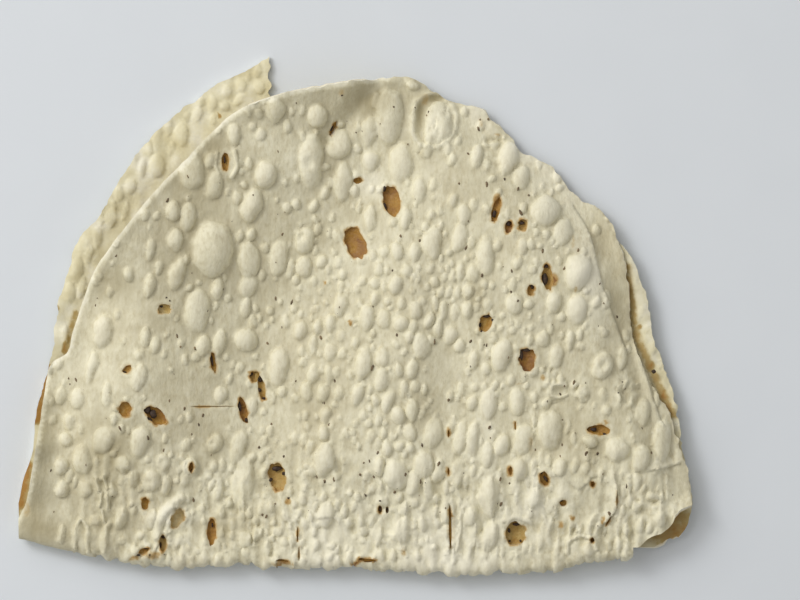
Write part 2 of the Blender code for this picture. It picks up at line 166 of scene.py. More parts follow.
# The burst blister at the back: x, y, half width, half length; the place of its wall as a share
# of them, the wall's reach and height, the depth inside and its fade, and lobes with heights
BURST_BLISTER = (22.2, 55.6, 7.3, 9.4)
BURST_WALL, BURST_REACH, BURST_HEIGHT, BURST_DEPTH, BURST_FADE = 0.84, 0.075, 1.1, 0.8, 0.3
BURST_LOBES = ((23.6, 54.3, 4.4, 6.4, 1.7), (25, 53.4, 2.4, 4.6, 2.2), (21.4, 50.6, 2.0, 2.6, 1.4))

# Smaller blisters that stand out, left part, middle and right part of the upper leaf
SMALL_BLISTERS = (
    (-40.5, 44, 1.7, 2.5), (-14, 14, 2.6, 2.8), (-18, 13.5, 1.3, 3), (-9, 15.5, 1.6, 1.9),
    (-39, 8, 1.8, 3.5), (-31, 2.5, 1.5, 3), (-29, -1.2, 1.2, 2), (-38.5, -7.5, 2, 4),
    (-43, -8, 2, 3), (-63.3, 12, 1.6, 2.3), (-58, 9, 1.8, 4), (-50.5, 21.5, 2.2, 3.4),
    (-57.5, 19, 1.5, 3.2), (-16.6, 31.5, 1.5, 1.8), (-11.6, 31.3, 1.6, 2), (-29, 23, 1.5, 2),
    (-59.2, -5.5, 1.5, 3), (-56.3, -8, 1.7, 2.6), (-20, -21, 1.6, 1.8), (-15.2, -4, 2, 3),
    (-10.2, -2.7, 1.5, 2.6), (-6.6, -2, 1.6, 2.5), (-6.6, -10, 1.7, 2.5), (-3.4, -10.6, 1.4, 2.2),
    (-4, 3, 2.1, 3.8), (-11.6, -16.3, 1.7, 3.3), (-8.7, -21.3, 1.7, 2.6), (-7.3, -16.3, 1.6, 3),
    (-4.4, -21.3, 1.6, 2.6), (-8, -27.8, 1.8, 2.6), (-8.7, -32.8, 1.9, 2.8), (0.8, -22, 1.7, 3.5),
    (-11.5, -8, 1.5, 3), (-83, -22.3, 1.8, 3), (-80.5, -29.5, 1.8, 2.5), (-81.5, -34.5, 1.8, 2.2),
    (-83, -42.5, 2, 2.6), (-82.5, -48.5, 2.1, 2.6), (-76, -48.6, 2, 2.6), (-62, -45.3, 1.5, 2.6),
    (-65, -41.8, 2.1, 2.5), (-53, -47.5, 1.6, 3), (-46.5, -42.2, 2, 2.5), (-39.5, -35.5, 2.2, 2.8),
    (-60.7, -17, 1.8, 4), (-69.5, -22, 1.5, 4), (-74, -14, 1.6, 5), (-66, -56.8, 1.8, 3.8),
    (-70.6, -62.3, 1.6, 4), (-78.7, -61.3, 1.0, 4), (-75.3, -61.6, 1.0, 4.2), (-82.6, -61, 1.2, 3),
    (-57.5, -57.5, 1.8, 3), (-38.5, -49, 1.6, 3.5), (-38, -22, 2, 3), (-29, -25.5, 1.5, 3),
    (-31, -63, 1.8, 2.6), (-27.5, -61.5, 1.8, 2.2), (-13.5, -21, 1.8, 3), (16.2, 65.3, 1.8, 1.8),
    (6, 61, 1.2, 2), (18.5, 36, 2, 4), (34.5, 45, 1.7, 3.5), (14.5, 27.5, 1.8, 3.4),
    (4.6, 28, 1.9, 4), (20.6, 46.4, 1.5, 2.4), (31, 28.5, 2, 3), (28, 32.5, 1.5, 2.5),
    (17, 18.5, 1.6, 3), (12, 18, 1.9, 2.8), (8.5, 18, 1.5, 2), (7, 13, 1.5, 2.5),
    (14.5, 12.5, 1.3, 2.2), (12, 8.8, 1.9, 2.5), (5.5, 9, 1.4, 1.6), (33.5, 12.5, 1.7, 3),
    (30, 12.5, 1.5, 2.8), (27.6, 11.5, 1.0, 2), (6, 5, 1.5, 2), (9.3, 4.5, 1.0, 1.5),
    (13.5, 4, 1.6, 2), (26.5, 6.6, 1.3, 2), (29, 6.6, 1.3, 2), (32, 7, 1.4, 2.4),
    (31.7, 1.8, 1.7, 2.6), (25, 1.5, 1.5, 2.8), (28.4, 1, 1.3, 2.5), (22.5, 3.5, 1.3, 2.5),
    (17, 1.5, 1.7, 2.8), (20.7, -1, 1.5, 2.8), (23.5, -3, 1.5, 2.8), (27, -5, 2, 2.6),
    (8.5, -0.7, 1.9, 2.8), (13, -2, 2.1, 2.6), (15.5, -5.8, 1.4, 1.7), (30, -8, 1.8, 2.4),
    (47.5, 19.5, 1.7, 3), (8, -11.5, 1.8, 3.2), (7.5, -18, 2, 3.6), (9.5, -24, 1.7, 3.6),
    (12.5, -15, 1.3, 2.4), (16, -15, 1.7, 2.8), (13.8, -20.5, 1.5, 2.7), (17, -19.8, 1.2, 1.9),
    (19.4, -20.6, 1.1, 2), (12.3, -28, 1.9, 2.8), (16, -26.5, 1.8, 3.2), (18.9, -27, 1.1, 2),
    (15.5, -32.4, 1.9, 2.7), (12.6, -36.4, 1.5, 1.6), (15.6, -36.6, 1.2, 1.5),
    (9.3, -37, 1.7, 2.6), (16.2, -46.6, 2.1, 3.6), (20.6, -48, 1.9, 3.6), (23.8, -43.5, 1.9, 3.4),
    (6.8, -42, 1.8, 3), (33.2, -24.4, 1.9, 2.2), (33.7, -12.4, 1.7, 3), (45.8, -24, 2.3, 3.8),
    (37.4, -38.8, 1.9, 3.8), (41.7, -36.2, 2.2, 3.3), (47, -42.8, 2, 3.4), (33, -56, 2, 3),
    (13.6, -60, 2.2, 4.6), (6.4, -61.6, 1.9, 3.8), (56.3, 4, 2.2, 3.4), (60.7, -7, 1.4, 3),
    (52.8, -6, 1.8, 2.6), (75, -12, 1.6, 3.4), (64.4, -21.7, 2, 2.4), (70.5, 5, 1.2, 3),
    (66.5, -35.6, 2.2, 1.6), (57.8, -42.2, 1.8, 2.4), (50.8, -51, 1.8, 3), (29.3, -44, 1.6, 4.5),
    (30, -34, 1.9, 5), (33.5, -34, 1.8, 5), (25.5, -55, 1.2, 4), (57, -65, 1.0, 4),
    (52.5, -62.5, 1.0, 4.5), (60.8, -58.8, 1.2, 2.2), (66, -66, 2, 2.2), (74, -64.5, 1.4, 2.2),
    (79.5, -53.5, 1.6, 2), (84, -50.5, 1.8, 1.4), (86.5, -57, 1.6, 2.4), (80.5, -59, 1.4, 2.2),
    (77, -60, 1.4, 1.8), (83, -59.8, 1.2, 1.6),
)

# Dimples in the tops of broken blisters: x, y, half width, half length, depth
DIMPLES = (
    (-63.8, -43.3, 0.9, 0.9, 1.0), (-54.2, -41, 1.0, 1.0, 0.8), (-46.4, -42.4, 0.9, 1.6, 0.9),
    (-40, -35.4, 0.7, 1.0, 0.8), (69.8, -13.9, 1.2, 1.3, 1.0), (64.3, -21.8, 0.8, 0.8, 0.7),
    (22.6, 54.8, 0.3, 2.6, 0.6), (25.6, 57.4, 0.3, 1.8, 0.5), (21.2, 52, 0.3, 1.4, 0.5),
    (-15.2, 22.3, 1.0, 1.5, 0.9), (-13, 43.6, 1.6, 1.9, 0.7), (-58.3, -46.6, 1.2, 0.9, 0.6),
    (-69.9, -51, 0.8, 2.6, 0.9), (-71.6, -48.6, 0.7, 2.2, 0.8), (-76.9, -60.6, 0.8, 3.2, 0.7),
    (61.8, -63.2, 2.0, 0.9, 0.9), (67.5, -63.2, 1.4, 0.9, 0.8), (66.5, -45.4, 2.0, 0.8, 0.7),
    (74.8, -20.6, 0.8, 2.2, 0.8), (84, -51.6, 1.6, 0.8, 0.6), (83.5, -56.4, 1.0, 1.0, 0.6),
    (39.5, 49.6, 1.6, 1.2, 0.9), (37.2, 49, 1.2, 0.8, 0.8), (57.5, -24.5, 2.4, 0.6, 0.8),
    (54.5, -15, 1.6, 0.8, 0.5), (53.5, -20.5, 0.7, 2.2, 0.5), (8.0, -54, 1.6, 1.4, 0.6),
)

# Blisters on the inner face of the lower leaf, behind the upper one
LOWER_BLISTERS = (
    (-56, 42.7, 2.5, 3.3), (-49.2, 51.4, 2.4, 4), (-55.5, 50, 1.2, 3.4), (-60.2, 41.7, 1.2, 3),
    (-63.6, 37.1, 1.8, 2.5), (-52.5, 54, 1.0, 2.6), (-58.2, 47.6, 1.1, 2.3),
    (-61.8, 45.3, 1.0, 1.5), (-66.8, 34.4, 1.3, 2.3), (-69.2, 27.8, 1.6, 3.1),
    (-65.2, 29.4, 1.0, 2.6), (-72.8, 22.6, 1.5, 3), (-75.2, 17.8, 1.4, 3), (-78.4, 13, 1.7, 4),
    (-80.4, 7, 1.4, 3), (-77.4, 8, 1.2, 3.4), (-81.9, -5, 1.2, 2.8), (-40.3, 60.2, 1.6, 2.2),
    (-36.3, 63.6, 1.5, 2), (-32.2, 65.4, 1.7, 2.2), (-27.2, 64.6, 1.8, 1.9),
    (-27.6, 69.2, 1.3, 2.2), (-44.6, 57, 1.6, 2.4), (-47.6, 56.6, 1.0, 1.8), (-40.4, 56, 1.0, 1.6),
    (-36.5, 59.4, 1.4, 1.6), (-33, 61.5, 1.3, 1.6), (-30.2, 67.8, 0.9, 1.4), (81, 1.2, 0.9, 2.2),
    (82.6, -3.4, 0.8, 1.6), (84.4, -8.6, 1.0, 2.4), (86.6, -13.6, 0.8, 1.6), (88, -19, 1.0, 2.4),
    (90, -26, 0.8, 2), (79.2, 8.6, 0.8, 2), (-68.3, 31.5, 0.9, 1.6), (-71.5, 27.5, 0.8, 1.8),
    (-43.8, 61, 1.0, 1.4), (-52, 47.6, 1.0, 2),
)

# Height of a blister as a share of its half width: large, small, scattered, inside and below
BLISTER_RISE = 0.57
SMALL_RISE = 0.68
SCATTERED_RISE = 0.6
LOWER_RISE = 0.3
BOTTOM_RISE = 0.3

# The shape of a blister: how blunt its top is, how much the heights differ, and the height,
# place and width of the ring round its foot, as shares of its height and its half sizes
DOME_POWER = 0.7
UNEVEN_RISE = 0.18
RING_HEIGHT, RING_PLACE, RING_WIDTH = -0.07, 1.12, 0.13

# The rings of mesh points on a blister, as shares of its half sizes, and the half width from
# which it has three of them
SMALL_CRESTS, LARGE_CRESTS, LARGE_FROM = (1.0, 0.86), (1.0, 0.92, 0.76), 1.8

# Scattered blisters: tries, where they may be in x and y, their half widths, their lengths as a
# share of these, least share without a crowd, how near they come to others, and the crowded
# middle (x, y, reach in x, reach in y)
SCATTER_TRIES = 6000
SCATTER_X, SCATTER_Y = (-92, 93), (-69, 64)
SCATTER_WIDTHS, SCATTER_LENGTHS = (0.6, 1.4), (1.15, 1.7)
SCATTER_BASE = 0.22
SCATTER_ROOM = 0.86
CROWD = (14, -14, 32, 34)

# Low blisters of the face that the papadum rests on: how many, where, and their sizes
BOTTOM_BLISTERS = 260
BOTTOM_X, BOTTOM_Y = (-90, 90), (-66, 62)
BOTTOM_WIDTHS, BOTTOM_LENGTHS = (1.6, 4.2), (1.0, 1.4)

# Places without scattered blisters: x, y, half width, half length
SMOOTH_PLACES = (
    (-74, -13, 8, 19), (-88, -54, 9, 16), (73, 9, 5, 15), (91, -48, 5, 8), (87, -36, 4, 9),
    (24, -15, 4, 9), (-58, 3, 7, 12), (-36, -4, 5, 6), (-20, 47, 6, 6), (-40, 30, 5, 6),
    (-4, 62, 14, 4), (-24, 27, 5, 6), (-62, 22, 5, 8), (8, 26, 3, 5), (32, 38, 5, 5),
    (30, -2, 3, 4), (-47, -21, 9, 7), (62, 26, 5, 6), (64, -50, 8, 6),
)

# Parts of the upper leaf towards the right and the front: x where they start, the length of
# their rise in x, and the same for -y
SCATTER_FRONT = (-66, 12, 34, 14)
SCATTER_STRETCH = (20, 14, 22, 14)
STRETCHED = (16, 14, 16, 14)
CRUMPLED = (-84, 10, 30, 20)

# Raised ridges, such as pleats and torn flaps: points, half width, height
RIDGES = (
    (((-56, -62), (-55.2, -57.8), (-53.4, -54.3), (-49.3, -51.2)), 1.5, 1.5),
    (((-79, -65.6), (-78.7, -60), (-77.2, -57.2), (-75.7, -60), (-75.2, -66)), 0.6, 0.75),
    (((-70.8, -66), (-70.6, -61.5), (-69.2, -58.2)), 0.8, 0.7),
    (((-83.6, -63), (-83, -59.5)), 0.6, 0.4),
    (((29.4, -52.6), (29.9, -59.8), (28.6, -66.8)), 0.5, 0.45), (((60, -66.6), (60.2, -63.8),
    (62, -62.2), (64.6, -61.8), (67.6, -63), (68.2, -65.6)), 0.7, 0.9),
    (((79.4, -7.6), (82.2, -19), (84.6, -29.5)), 1.3, 0.5),
    (((-33.9, 46.4), (-33.2, 42.4), (-34.6, 39.6)), 0.8, 1.1),
    (((-38.8, 46), (-39.2, 42.6), (-38.2, 40)), 0.6, 0.6),
    (((-72.6, -45.4), (-72.0, -49)), 0.6, 0.9), (((-70.6, -44.6), (-69.8, -48.4)), 0.5, 0.8),
    (((-71.2, -49.6), (-71.9, -53.4)), 0.5, 0.9), (((-69.2, -49.2), (-69.5, -54)), 0.6, 1.0),
    (((-71.2, -54.6), (-70.6, -57.8)), 0.5, 0.7),
    (((54, -18.4), (56, -19.2), (57.8, -18.8)), 0.5, 0.35),
    (((55.4, -22.4), (58, -22.8), (60, -22)), 0.5, 0.4),
    (((76.4, -18.6), (75.6, -20.4)), 0.5, 0.4), (((74.2, -21.6), (74.6, -23.6)), 0.5, 0.4),
    (((42, -57.4), (45.4, -56.2), (49.4, -57.8)), 0.8, 0.6),
    (((-47.6, -44.4), (-48.5, -42.2), (-46.6, -40), (-44.6, -42)), 0.6, 0.6),
    (((7.2, -46.6), (9.6, -48.6)), 0.7, 0.5), (((11.4, -34.2), (13, -30.6)), 0.5, 0.4),
)

# Steps where a skin of the dough ends; the left-hand side stands up: points, height, fade
STEPS = (
    (((75.6, -8), (73, -1), (70, 7), (68, 15), (66, 22)), 0.6, 7.0),
    (((67, 19), (65, 25), (61.5, 31)), 0.5, 5.0),
    (((86.6, -31), (83.6, -22), (80.6, -10)), 0.5, 3.0), (((69.9, -58.8), (71.6, -56.9),
    (73.4, -54.8), (74.1, -51.5), (74, -48), (73.2, -44.6)), 0.9, 7.0),
    (((82.6, -43.4), (87, -42.9), (91.8, -41.4)), 0.7, 6.0),
    (((39.2, -56.8), (39.6, -50), (39, -45.4)), 0.45, 3.0),
    (((26.9, -66.6), (26.6, -58), (26.8, -50.4)), 0.35, 3.0),
    (((-10.4, -57), (-6.6, -56.4), (-4.2, -58.6)), 0.4, 3.0),
    (((60.2, -46.4), (63.2, -48.4), (66.8, -45.4)), 0.5, 3.0),
    (((49.4, -27.6), (50.2, -31.4), (50, -36)), 0.4, 2.5),
    (((84.4, -31), (83.6, -36.6), (84, -41)), 0.4, 2.5), (((87.2, -45), (87.6, -51.6)), 0.5, 4.0),
    (((-57, -69), (-55.6, -64.6), (-52, -60.8)), 0.4, 3.0),
    (((33.6, -65.8), (34.4, -60.2), (33.8, -55)), 0.35, 2.5),
    (((52.6, -41), (50.6, -44.4), (50.4, -49)), 0.35, 2.5),
)

# Wrinkled places: x, y, half width, half length, height of the wrinkles
WRINKLED = (
    (55.5, -19, 5, 5.5, 0.65), (64, -20.5, 3.6, 5.5, 0.5), (76, -21, 5, 7, 0.5),
    (-70.6, -51.4, 2.8, 7, 0.8), (82, -55, 7, 6, 0.45), (38, 51, 4, 5, 0.4),
    (-52, -55, 4, 4, 0.35), (66, -60, 8, 5, 0.35), (-33, -55, 6, 6, 0.3), (13, -62, 8, 5, 0.3),
    (33, -50, 5, 12, 0.3), (-59, -66, 8, 3, 0.4),
)

# The smooth place at the right-hand corner: x, y, half width, half length
CALM_CORNER = (91, -45, 5, 9)

# The shaded groove at the back edge, and its half width and depth
GROOVE = ((7, 69), (0, 58), (-6.5, 50))
GROOVE_REACH = 5.0
GROOVE_DEPTH = 1.6

# Random waves, each as height, width in x, width in y and seed
FRONT_WAVES = ((0.5, 5.2, 1, 3), (0.3, 1.6, 1, 4), (0.38, 0.9, 1, 5))
FRONT_STEPS = ((1.6, 2.4, 1, 6),)
WARP_X_WAVES = ((0.45, 3.1, 4.2, 11), (0.2, 1.4, 1.7, 12))
WARP_Y_WAVES = ((0.55, 3.4, 4.0, 13), (0.2, 1.5, 1.8, 14))
STRETCH_WAVES = ((0.24, 1.9, 13.0, 21),)
TOP_WAVES = ((0.1, 3.4, 4.6, 23), (0.05, 1.1, 1.8, 24))
BURST_WAVES = ((0.06, 2.4, 3.2, 27),)
BURST_WALL_WAVES = ((0.35, 3.0, 3.6, 28),)
INSIDE_WAVES = ((0.26, 2.1, 3.2, 31), (0.1, 1.2, 1.6, 32))
UNDER_WAVES = ((0.14, 3.0, 3.4, 33),)
BOTTOM_WAVES = ((0.12, 3.2, 3.6, 41),)
RIM_WAVES = ((0.34, 2.4, 2.4, 51), (0.24, 1.1, 1.1, 52))
SPECKLE_WAVES = ((0.5, 1.3, 1.3, 71),)
TONE_WAVES = ((0.1, 2.4, 4.2, 72), (0.08, 9.0, 14.0, 73))
FLOOR_WAVES = ((0.16, 0.9, 1.1, 81), (0.12, 0.5, 0.5, 82))

# How uneven the outlines of the openings are: seed, most, and share of the half width
OPENING_SEED = 60
MOST_UNEVEN, UNEVEN_SHARE = 0.16, 0.2

# Sharp creases between random waves, each as width in x, width in y and seed
CRUMPLE = (1.7, 6.0, 22)
FOLDS = (3.4, 12.0, 25)
WRINKLES = (1.5, 2.6, 26)
FLAKES = (1.1, 3.0, 29)

# Burst openings through the upper leaf: x, y, half width, half length, turn in degrees, and
# the tone of the skin that closes them from below, from 0 for black to 1 for cream
HOLES = (
    (0.2, 20.8, 2.9, 4.9, 24, 0.42), (10.4, 32.6, 2.3, 4.6, 14, 0.44),
    (39.9, 30.1, 1.2, 3.4, -14, 0.5), (43.4, 25.2, 1.1, 1.8, -10, 0.4),
    (47.4, 25.8, 1.3, 1.6, 0, 0.7), (54.3, 11, 1.6, 3.6, 5, 0.62), (49.6, 7.4, 1.0, 1.7, -10, 0.5),
    (37, -1.8, 2.0, 2.5, -20, 0.5), (48.6, -12, 2.4, 3.2, 0, 0.36),
    (-64.7, -26.3, 1.8, 2.1, 0, 0.5), (-56, -28.1, 2.0, 3.6, 52, 0.45),
    (-31.6, -26.3, 1.2, 3.7, 15, 0.4), (-26.3, -20.4, 1.0, 3.6, 12, 0.6),
    (-21.8, -45.2, 2.5, 4.2, 10, 0.62), (45.5, -61.2, 2.8, 3.4, 0, 0.68),
    (68.7, -32, 3.0, 1.5, -5, 0.5), (53.5, -45.6, 1.2, 2.2, 25, 0.5),
    (-50.2, -57, 1.7, 2.8, -30, 0.82), (-40.4, -61, 1.2, 3.8, 0, 0.48),
    (-54.3, -64, 1.0, 2.6, 0, 0.7), (-59.2, -52.8, 1.1, 1.8, 0, 0.5),
    (-53.6, 2, 1.9, 1.4, 0, 0.75), (-28.3, -17, 1.5, 1.5, 20, 0.55),
)

# Small openings and cracks, listed in the same way, with one tone for all
SLITS = (
    (-40, -12.9, 0.85, 2.8, 8), (-36.4, 43.6, 1.1, 2.6, 5), (-6.3, 53.2, 0.7, 2.3, -25),
    (0.9, 38.4, 1.2, 0.9, 0), (58.8, -52.4, 1.0, 1.1, 0), (-64, -14.9, 0.9, 1.5, -50),
    (27, -59.6, 0.38, 6.2, 1), (-16.1, -61.6, 0.22, 2.0, 0), (-15.7, -67, 0.22, 2.0, 0),
    (-40.6, -25.4, 6.0, 0.11, 0), (67.1, -47.1, 0.6, 0.9, 0), (67.1, -62.9, 0.6, 0.8, 0),
    (-46.4, -42.5, 0.7, 1.5, 0), (45.3, -30.8, 0.28, 1.2, 0), (73.9, -51.2, 0.14, 2.6, 0),
    (71.6, -57.6, 0.22, 1.6, -30), (-59.6, -66.2, 1.6, 0.8, 20), (7.2, -54.3, 0.6, 1.2, 0),
    (9.2, -54.5, 0.5, 1.0, 0), (3.4, -68.6, 2.6, 0.32, 0), (-20.4, -69, 1.7, 0.24, 0),
    (26.5, -33, 0.3, 1.1, 0), (26.5, -43.6, 0.3, 1.0, 0), (44, -43.4, 0.5, 1.3, 0),
)
SLIT_TONE = 0.52
OPENINGS = HOLES + SLITS
FLOOR_TONES = [spot[5] for spot in HOLES] + [SLIT_TONE] * len(SLITS)

# The skins that close the openings: rings and sides of their meshes, thickness, how far their
# edge lies below the middle of the sheet, and the depth of their middle
FLOOR_RINGS, FLOOR_SIDES = 6, 22
FLOOR_THICKNESS = 0.35
FLOOR_DROP = 0.1
FLOOR_DEPTH, FLOOR_DEPTH_SHARE = 0.2, 0.24
NARROW, NARROW_DEPTH = 0.5, -0.25
FLOOR_OVERLAP = 0.5

# Black and dark brown bits of burnt dough, the ones at the back-left sides of openings partly
# standing in for the shade there: x, y, half width, half length, turn in degrees
CHAR_AND_SHADE_FLAKES = (
    (8.4, 36.2, 0.8, 1.6, 0), (8.5, 30.8, 0.9, 2.2, 5), (-58.4, -26.3, 1.4, 1.8, -20),
    (-56.7, -27.4, 1.7, 2.1, 15), (-57.8, -29.2, 1.3, 1.2, 30), (46.8, -10.6, 1.2, 2.6, 10),
    (48.3, -9.2, 2.0, 1.1, 0), (54, 14.1, 1.1, 0.7, 0), (53.6, 11.6, 0.9, 0.9, 20),
    (53.6, 10.4, 1.3, 2.4, 0), (50, 8.4, 0.7, 1.0, 0), (43.4, 26.1, 0.9, 1.1, -20),
    (47.2, 26.3, 1.0, 0.9, 0), (39.4, 29, 0.8, 1.9, -10), (37.3, 0, 1.8, 0.6, 10),
    (38.9, -0.9, 0.6, 0.8, 0), (35.4, -2.4, 0.6, 1.0, 0), (35.7, -4.2, 0.7, 0.6, 0),
    (-40.3, -12.5, 0.5, 2.4, 8), (-64.7, -15.7, 0.7, 0.5, 0), (-32.5, -25.3, 0.8, 2.3, 15),
    (-30.7, -29.3, 0.6, 0.9, 0), (-29.4, -16.5, 1.3, 0.7, 30), (-26.7, -17.8, 0.8, 1.2, 0),
    (-26.9, -20.8, 0.9, 0.8, 0), (-25.7, -23.2, 0.8, 0.7, 0), (-22, -43, 2.2, 1.1, 0),
    (-20, -44.4, 0.8, 0.8, 0), (-24, -46.2, 1.2, 0.8, 20), (-18.7, -51.2, 0.6, 0.7, 0),
    (45.8, -58.6, 2.0, 0.7, 0), (43.6, -60.4, 0.7, 1.1, 0), (43.8, -63.4, 0.5, 0.5, 0),
    (46.8, -63.4, 0.5, 0.6, 0), (67.4, -31.8, 1.4, 0.9, 0), (70.4, -33.2, 0.9, 0.6, -40),
    (53.9, -45.8, 0.7, 1.5, 25), (52.7, -44, 0.6, 0.5, 0), (-40.2, -59, 0.4, 1.0, 0),
    (-54, -62.2, 0.9, 0.8, 30), (-54.8, -64.6, 0.4, 1.2, 0), (-53.9, -67.2, 0.6, 0.5, 0),
    (-59, -65.5, 0.8, 0.6, 0), (-57.8, -67, 0.7, 1.1, 0), (-61.4, -67.4, 1.3, 0.4, 0),
    (-52.2, 4.3, 0.8, 0.9, 0), (-53, 5.3, 0.5, 0.5, 0), (-54.4, 2.8, 0.8, 0.5, 0),
    (-54.3, 0.3, 0.4, 0.4, 0), (-51, 2.4, 0.3, 1.1, 0), (-36.6, 44.2, 0.5, 1.5, 5),
    (-6.4, 53.2, 0.5, 1.6, -25), (-3.6, 62.4, 0.6, 0.6, 0), (7.2, -52, 0.6, 0.4, 0),
    (7.2, -54.4, 0.5, 1.0, 0), (9.2, -54.6, 0.5, 0.9, 0), (58.3, -51.9, 0.7, 0.5, 0),
    (84.5, -15.6, 1.0, 0.9, 0), (75.4, -18.9, 0.6, 0.9, 0), (74.2, -21.6, 0.7, 0.5, 0),
)

# Burnt bits, those sunk in the openings partly painted shade: share of the listed sizes, and how
# high they lie and half as thick as they are, inside the openings and elsewhere
CHAR_SIZE = 0.66
SUNK_CHAR_AND_SHADE, SUNK_CHAR_AND_SHADE_RISE = 0.05, 0.25
RAISED_CHAR, RAISED_CHAR_RISE = 0.2, 0.4

# Ground pepper and seed specks that stand out: x, y
SPECKS = (
    (-52.7, 32.6), (-67, 17.2), (-50, -5.5), (-49, -8.5), (-78.6, -17.9), (-66, -31.5),
    (-58.3, -34), (-52.2, -23.8), (-42.8, -27.9), (-48, -26), (-44, -30.5), (-40, -35.2),
    (-27, -37), (-20, -39.5), (-23.5, -30.5), (-10.6, -45.2), (-5.8, -46), (-7.2, -30.5),
    (-8.5, -24.5), (-8.5, -46.5), (-33.3, -63.5), (-26, -56), (-25, -56.5), (-22.6, -53.2),
    (-10, -64.4), (29.5, 37.5), (37.3, 37.2), (42.3, 38.5), (46.1, 36), (49.1, 34), (32, 45.8),
    (11, 59), (35.5, 55.5), (35, 53), (37.8, 55.8), (12.9, 22.6), (18.4, 21.3), (31.4, 19.3),
    (44.3, 12.7), (46, 4.4), (36, 11.7), (44.1, 7), (46.8, 29.2), (32.7, -7), (12, -5.3),
    (22.5, -7), (4.9, -14.5), (19, -36.2), (14.3, -44.5), (18.5, -46.5), (11.3, -49.5),
    (23.7, -41.5), (38, -31.2), (43.7, -47), (3, -50.3), (2.6, -41.2), (1.5, -44.5), (5.3, -45),
    (41.3, -52.8), (15.5, -53.3), (6.5, -38.4), (3.8, -62.5), (10.4, -64.3), (10.4, -66.9),
    (59.1, 13.5), (63, 18.5), (53, 18.5), (69.1, 9.2), (74, 0), (76.2, -20.4), (59.1, -19.6),
    (58, -22), (58.5, -29.5), (65.2, -38.6), (68.4, -38.6), (58.5, -36.2), (58, -39.5),
    (81, -31.7), (83.5, -38.5), (76.7, -47.7), (61.8, -18.7), (-41.7, 1.2), (-37.3, 7.7),
    (-22.3, 5), (-24.6, -7.6), (-17.8, 4), (-20.4, 23.2), (-9.5, -6), (-45, -9), (26.5, -23.5),
    (80, 4.8), (-84, 2),
)

# All specks: how many, where, their half widths, their lengths as a share of these, and turns
SPECK_COUNT = 210
SPECK_X, SPECK_Y = (-88, 90), (-66, 62)
LARGE_SPECKS, FINE_SPECKS = (0.34, 0.5), (0.12, 0.3)
SPECK_LENGTHS, SPECK_TURNS = (0.9, 1.9), (-0.5, 0.5)

# Lumps such as burnt bits and specks: sides and rings of a mesh, and how uneven it is
LUMP_SIDES, LUMP_RINGS = 8, 5
LUMP_UNEVEN = 0.28

# Amber and brown stains: x, y, half width, half length, strength
STAINS = (
    (14, -67, 0.8, 1.6, 0.6), (46.5, -19, 1.6, 0.6, 0.5), (61.5, -56.5, 0.9, 1.0, 0.8),
    (58, -58.8, 0.7, 1.0, 0.8), (-38.5, 56, 0.8, 1.2, 0.9), (-8.5, 9, 0.5, 1.1, 0.8),
    (44, -43.4, 1.0, 1.8, 1.0), (26.5, -32.6, 0.9, 1.8, 0.8), (26.5, -43.4, 0.8, 1.4, 0.8),
    (-1, -1.9, 0.5, 1.1, 0.9), (-29.5, -16.5, 1.1, 0.7, 0.9), (69.9, -57, 0.6, 1.6, 0.8),
    (70.7, -29.6, 1.0, 0.6, 0.7), (62, 7.8, 0.6, 1.1, 0.55), (53, -17.6, 0.9, 1.2, 0.6),
    (-7, -43.6, 1.4, 1.6, 0.2), (40.6, 8.2, 1.2, 0.8, 0.2), (61.2, 20.6, 0.6, 2.6, 0.45),
    (55.9, 10.2, 1.6, 2.2, 1.0), (40.6, 32, 1.3, 2.2, 0.9), (-18.8, -52, 0.9, 1.2, 0.9),
    (-4, 63, 1.0, 1.2, 0.45), (19.8, 61.2, 1.5, 2.2, 0.45), (-62, -68, 2.0, 0.7, 0.7),
    (-56.5, -67.5, 2.6, 1.3, 0.6), (3, -69.2, 5.2, 0.5, 0.95), (-20.5, -69.4, 3.6, 0.5, 0.9),
    (28.2, -60, 0.7, 6, 0.35), (49.5, -36, 0.8, 3, 0.4), (-92.6, -54.5, 1.2, 2.5, 0.45),
    (35.4, 54.4, 0.8, 1.6, 0.4), (40.4, 51.6, 1.6, 0.6, 0.5),
)

# Brown stains on the inner face of the lower leaf, listed in the same way
INSIDE_STAINS = (
    (-38.5, 56, 0.6, 1.4, 1.0), (81, -3, 0.6, 1.6, 0.8), (87.8, -22.5, 0.8, 2.4, 0.9),
    (-84, 2, 0.5, 1.5, 1.0), (-82.2, -8.6, 0.8, 2.2, 0.8), (84, -14, 1.0, 1.4, 0.7),
)

# Painted shade on that face, warm as bounced light makes it, in lines along the gaps beside the
# upper leaf's edge: path, reach, how far inwards full strength goes, strength
SHADED_GAP_LINES = (
    (((-87, -15), (-88.8, -22), (-90, -29)), 2.4, 1.2, 1.0),
    (((-92.8, -42), (-94.6, -53)), 3.2, 1.0, 1.0),
    (((-79.0, 1), (-81.8, -9)), 2.2, 1.0, 0.6),
    (((77.0, 14), (78.2, 5), (79.8, -5), (83.4, -14), (87.2, -22), (90, -28)), 2.3, 1.15, 0.6),
)

# Other marks on the inner face: painted shade in the torn corner below the upper leaf's edge (x,
# y, half width, half length), painted shade that deepens under the upper leaf with its fade, the
# amber of the lower blisters' tops, and warm painted shade on the upper leaf's underside, with
# their strengths
CORNER_SHADE, CORNER_SHADE_STRENGTH = (90, -60, 16, 12), 0.8
HIDDEN_SHADE_STRENGTH, HIDDEN_SHADE_FADE = 0.7, 9.0
TOPS_STRENGTH = 0.25
UNDER_SHADE_STRENGTH = 0.4

# Stain round the openings: its reach, the least reach, and the share of a small one's width
OPENING_STAIN, LEAST_STAIN, STAIN_SHARE = 1.3, 0.35, 2.5

# The lip round the openings, and the painted highlight on the rim where its edge faces the light,
# left of a place in x
OPENING_LIP = 0.22
RIM_HIGHLIGHT, RIM_HIGHLIGHT_END = 0.9, 10
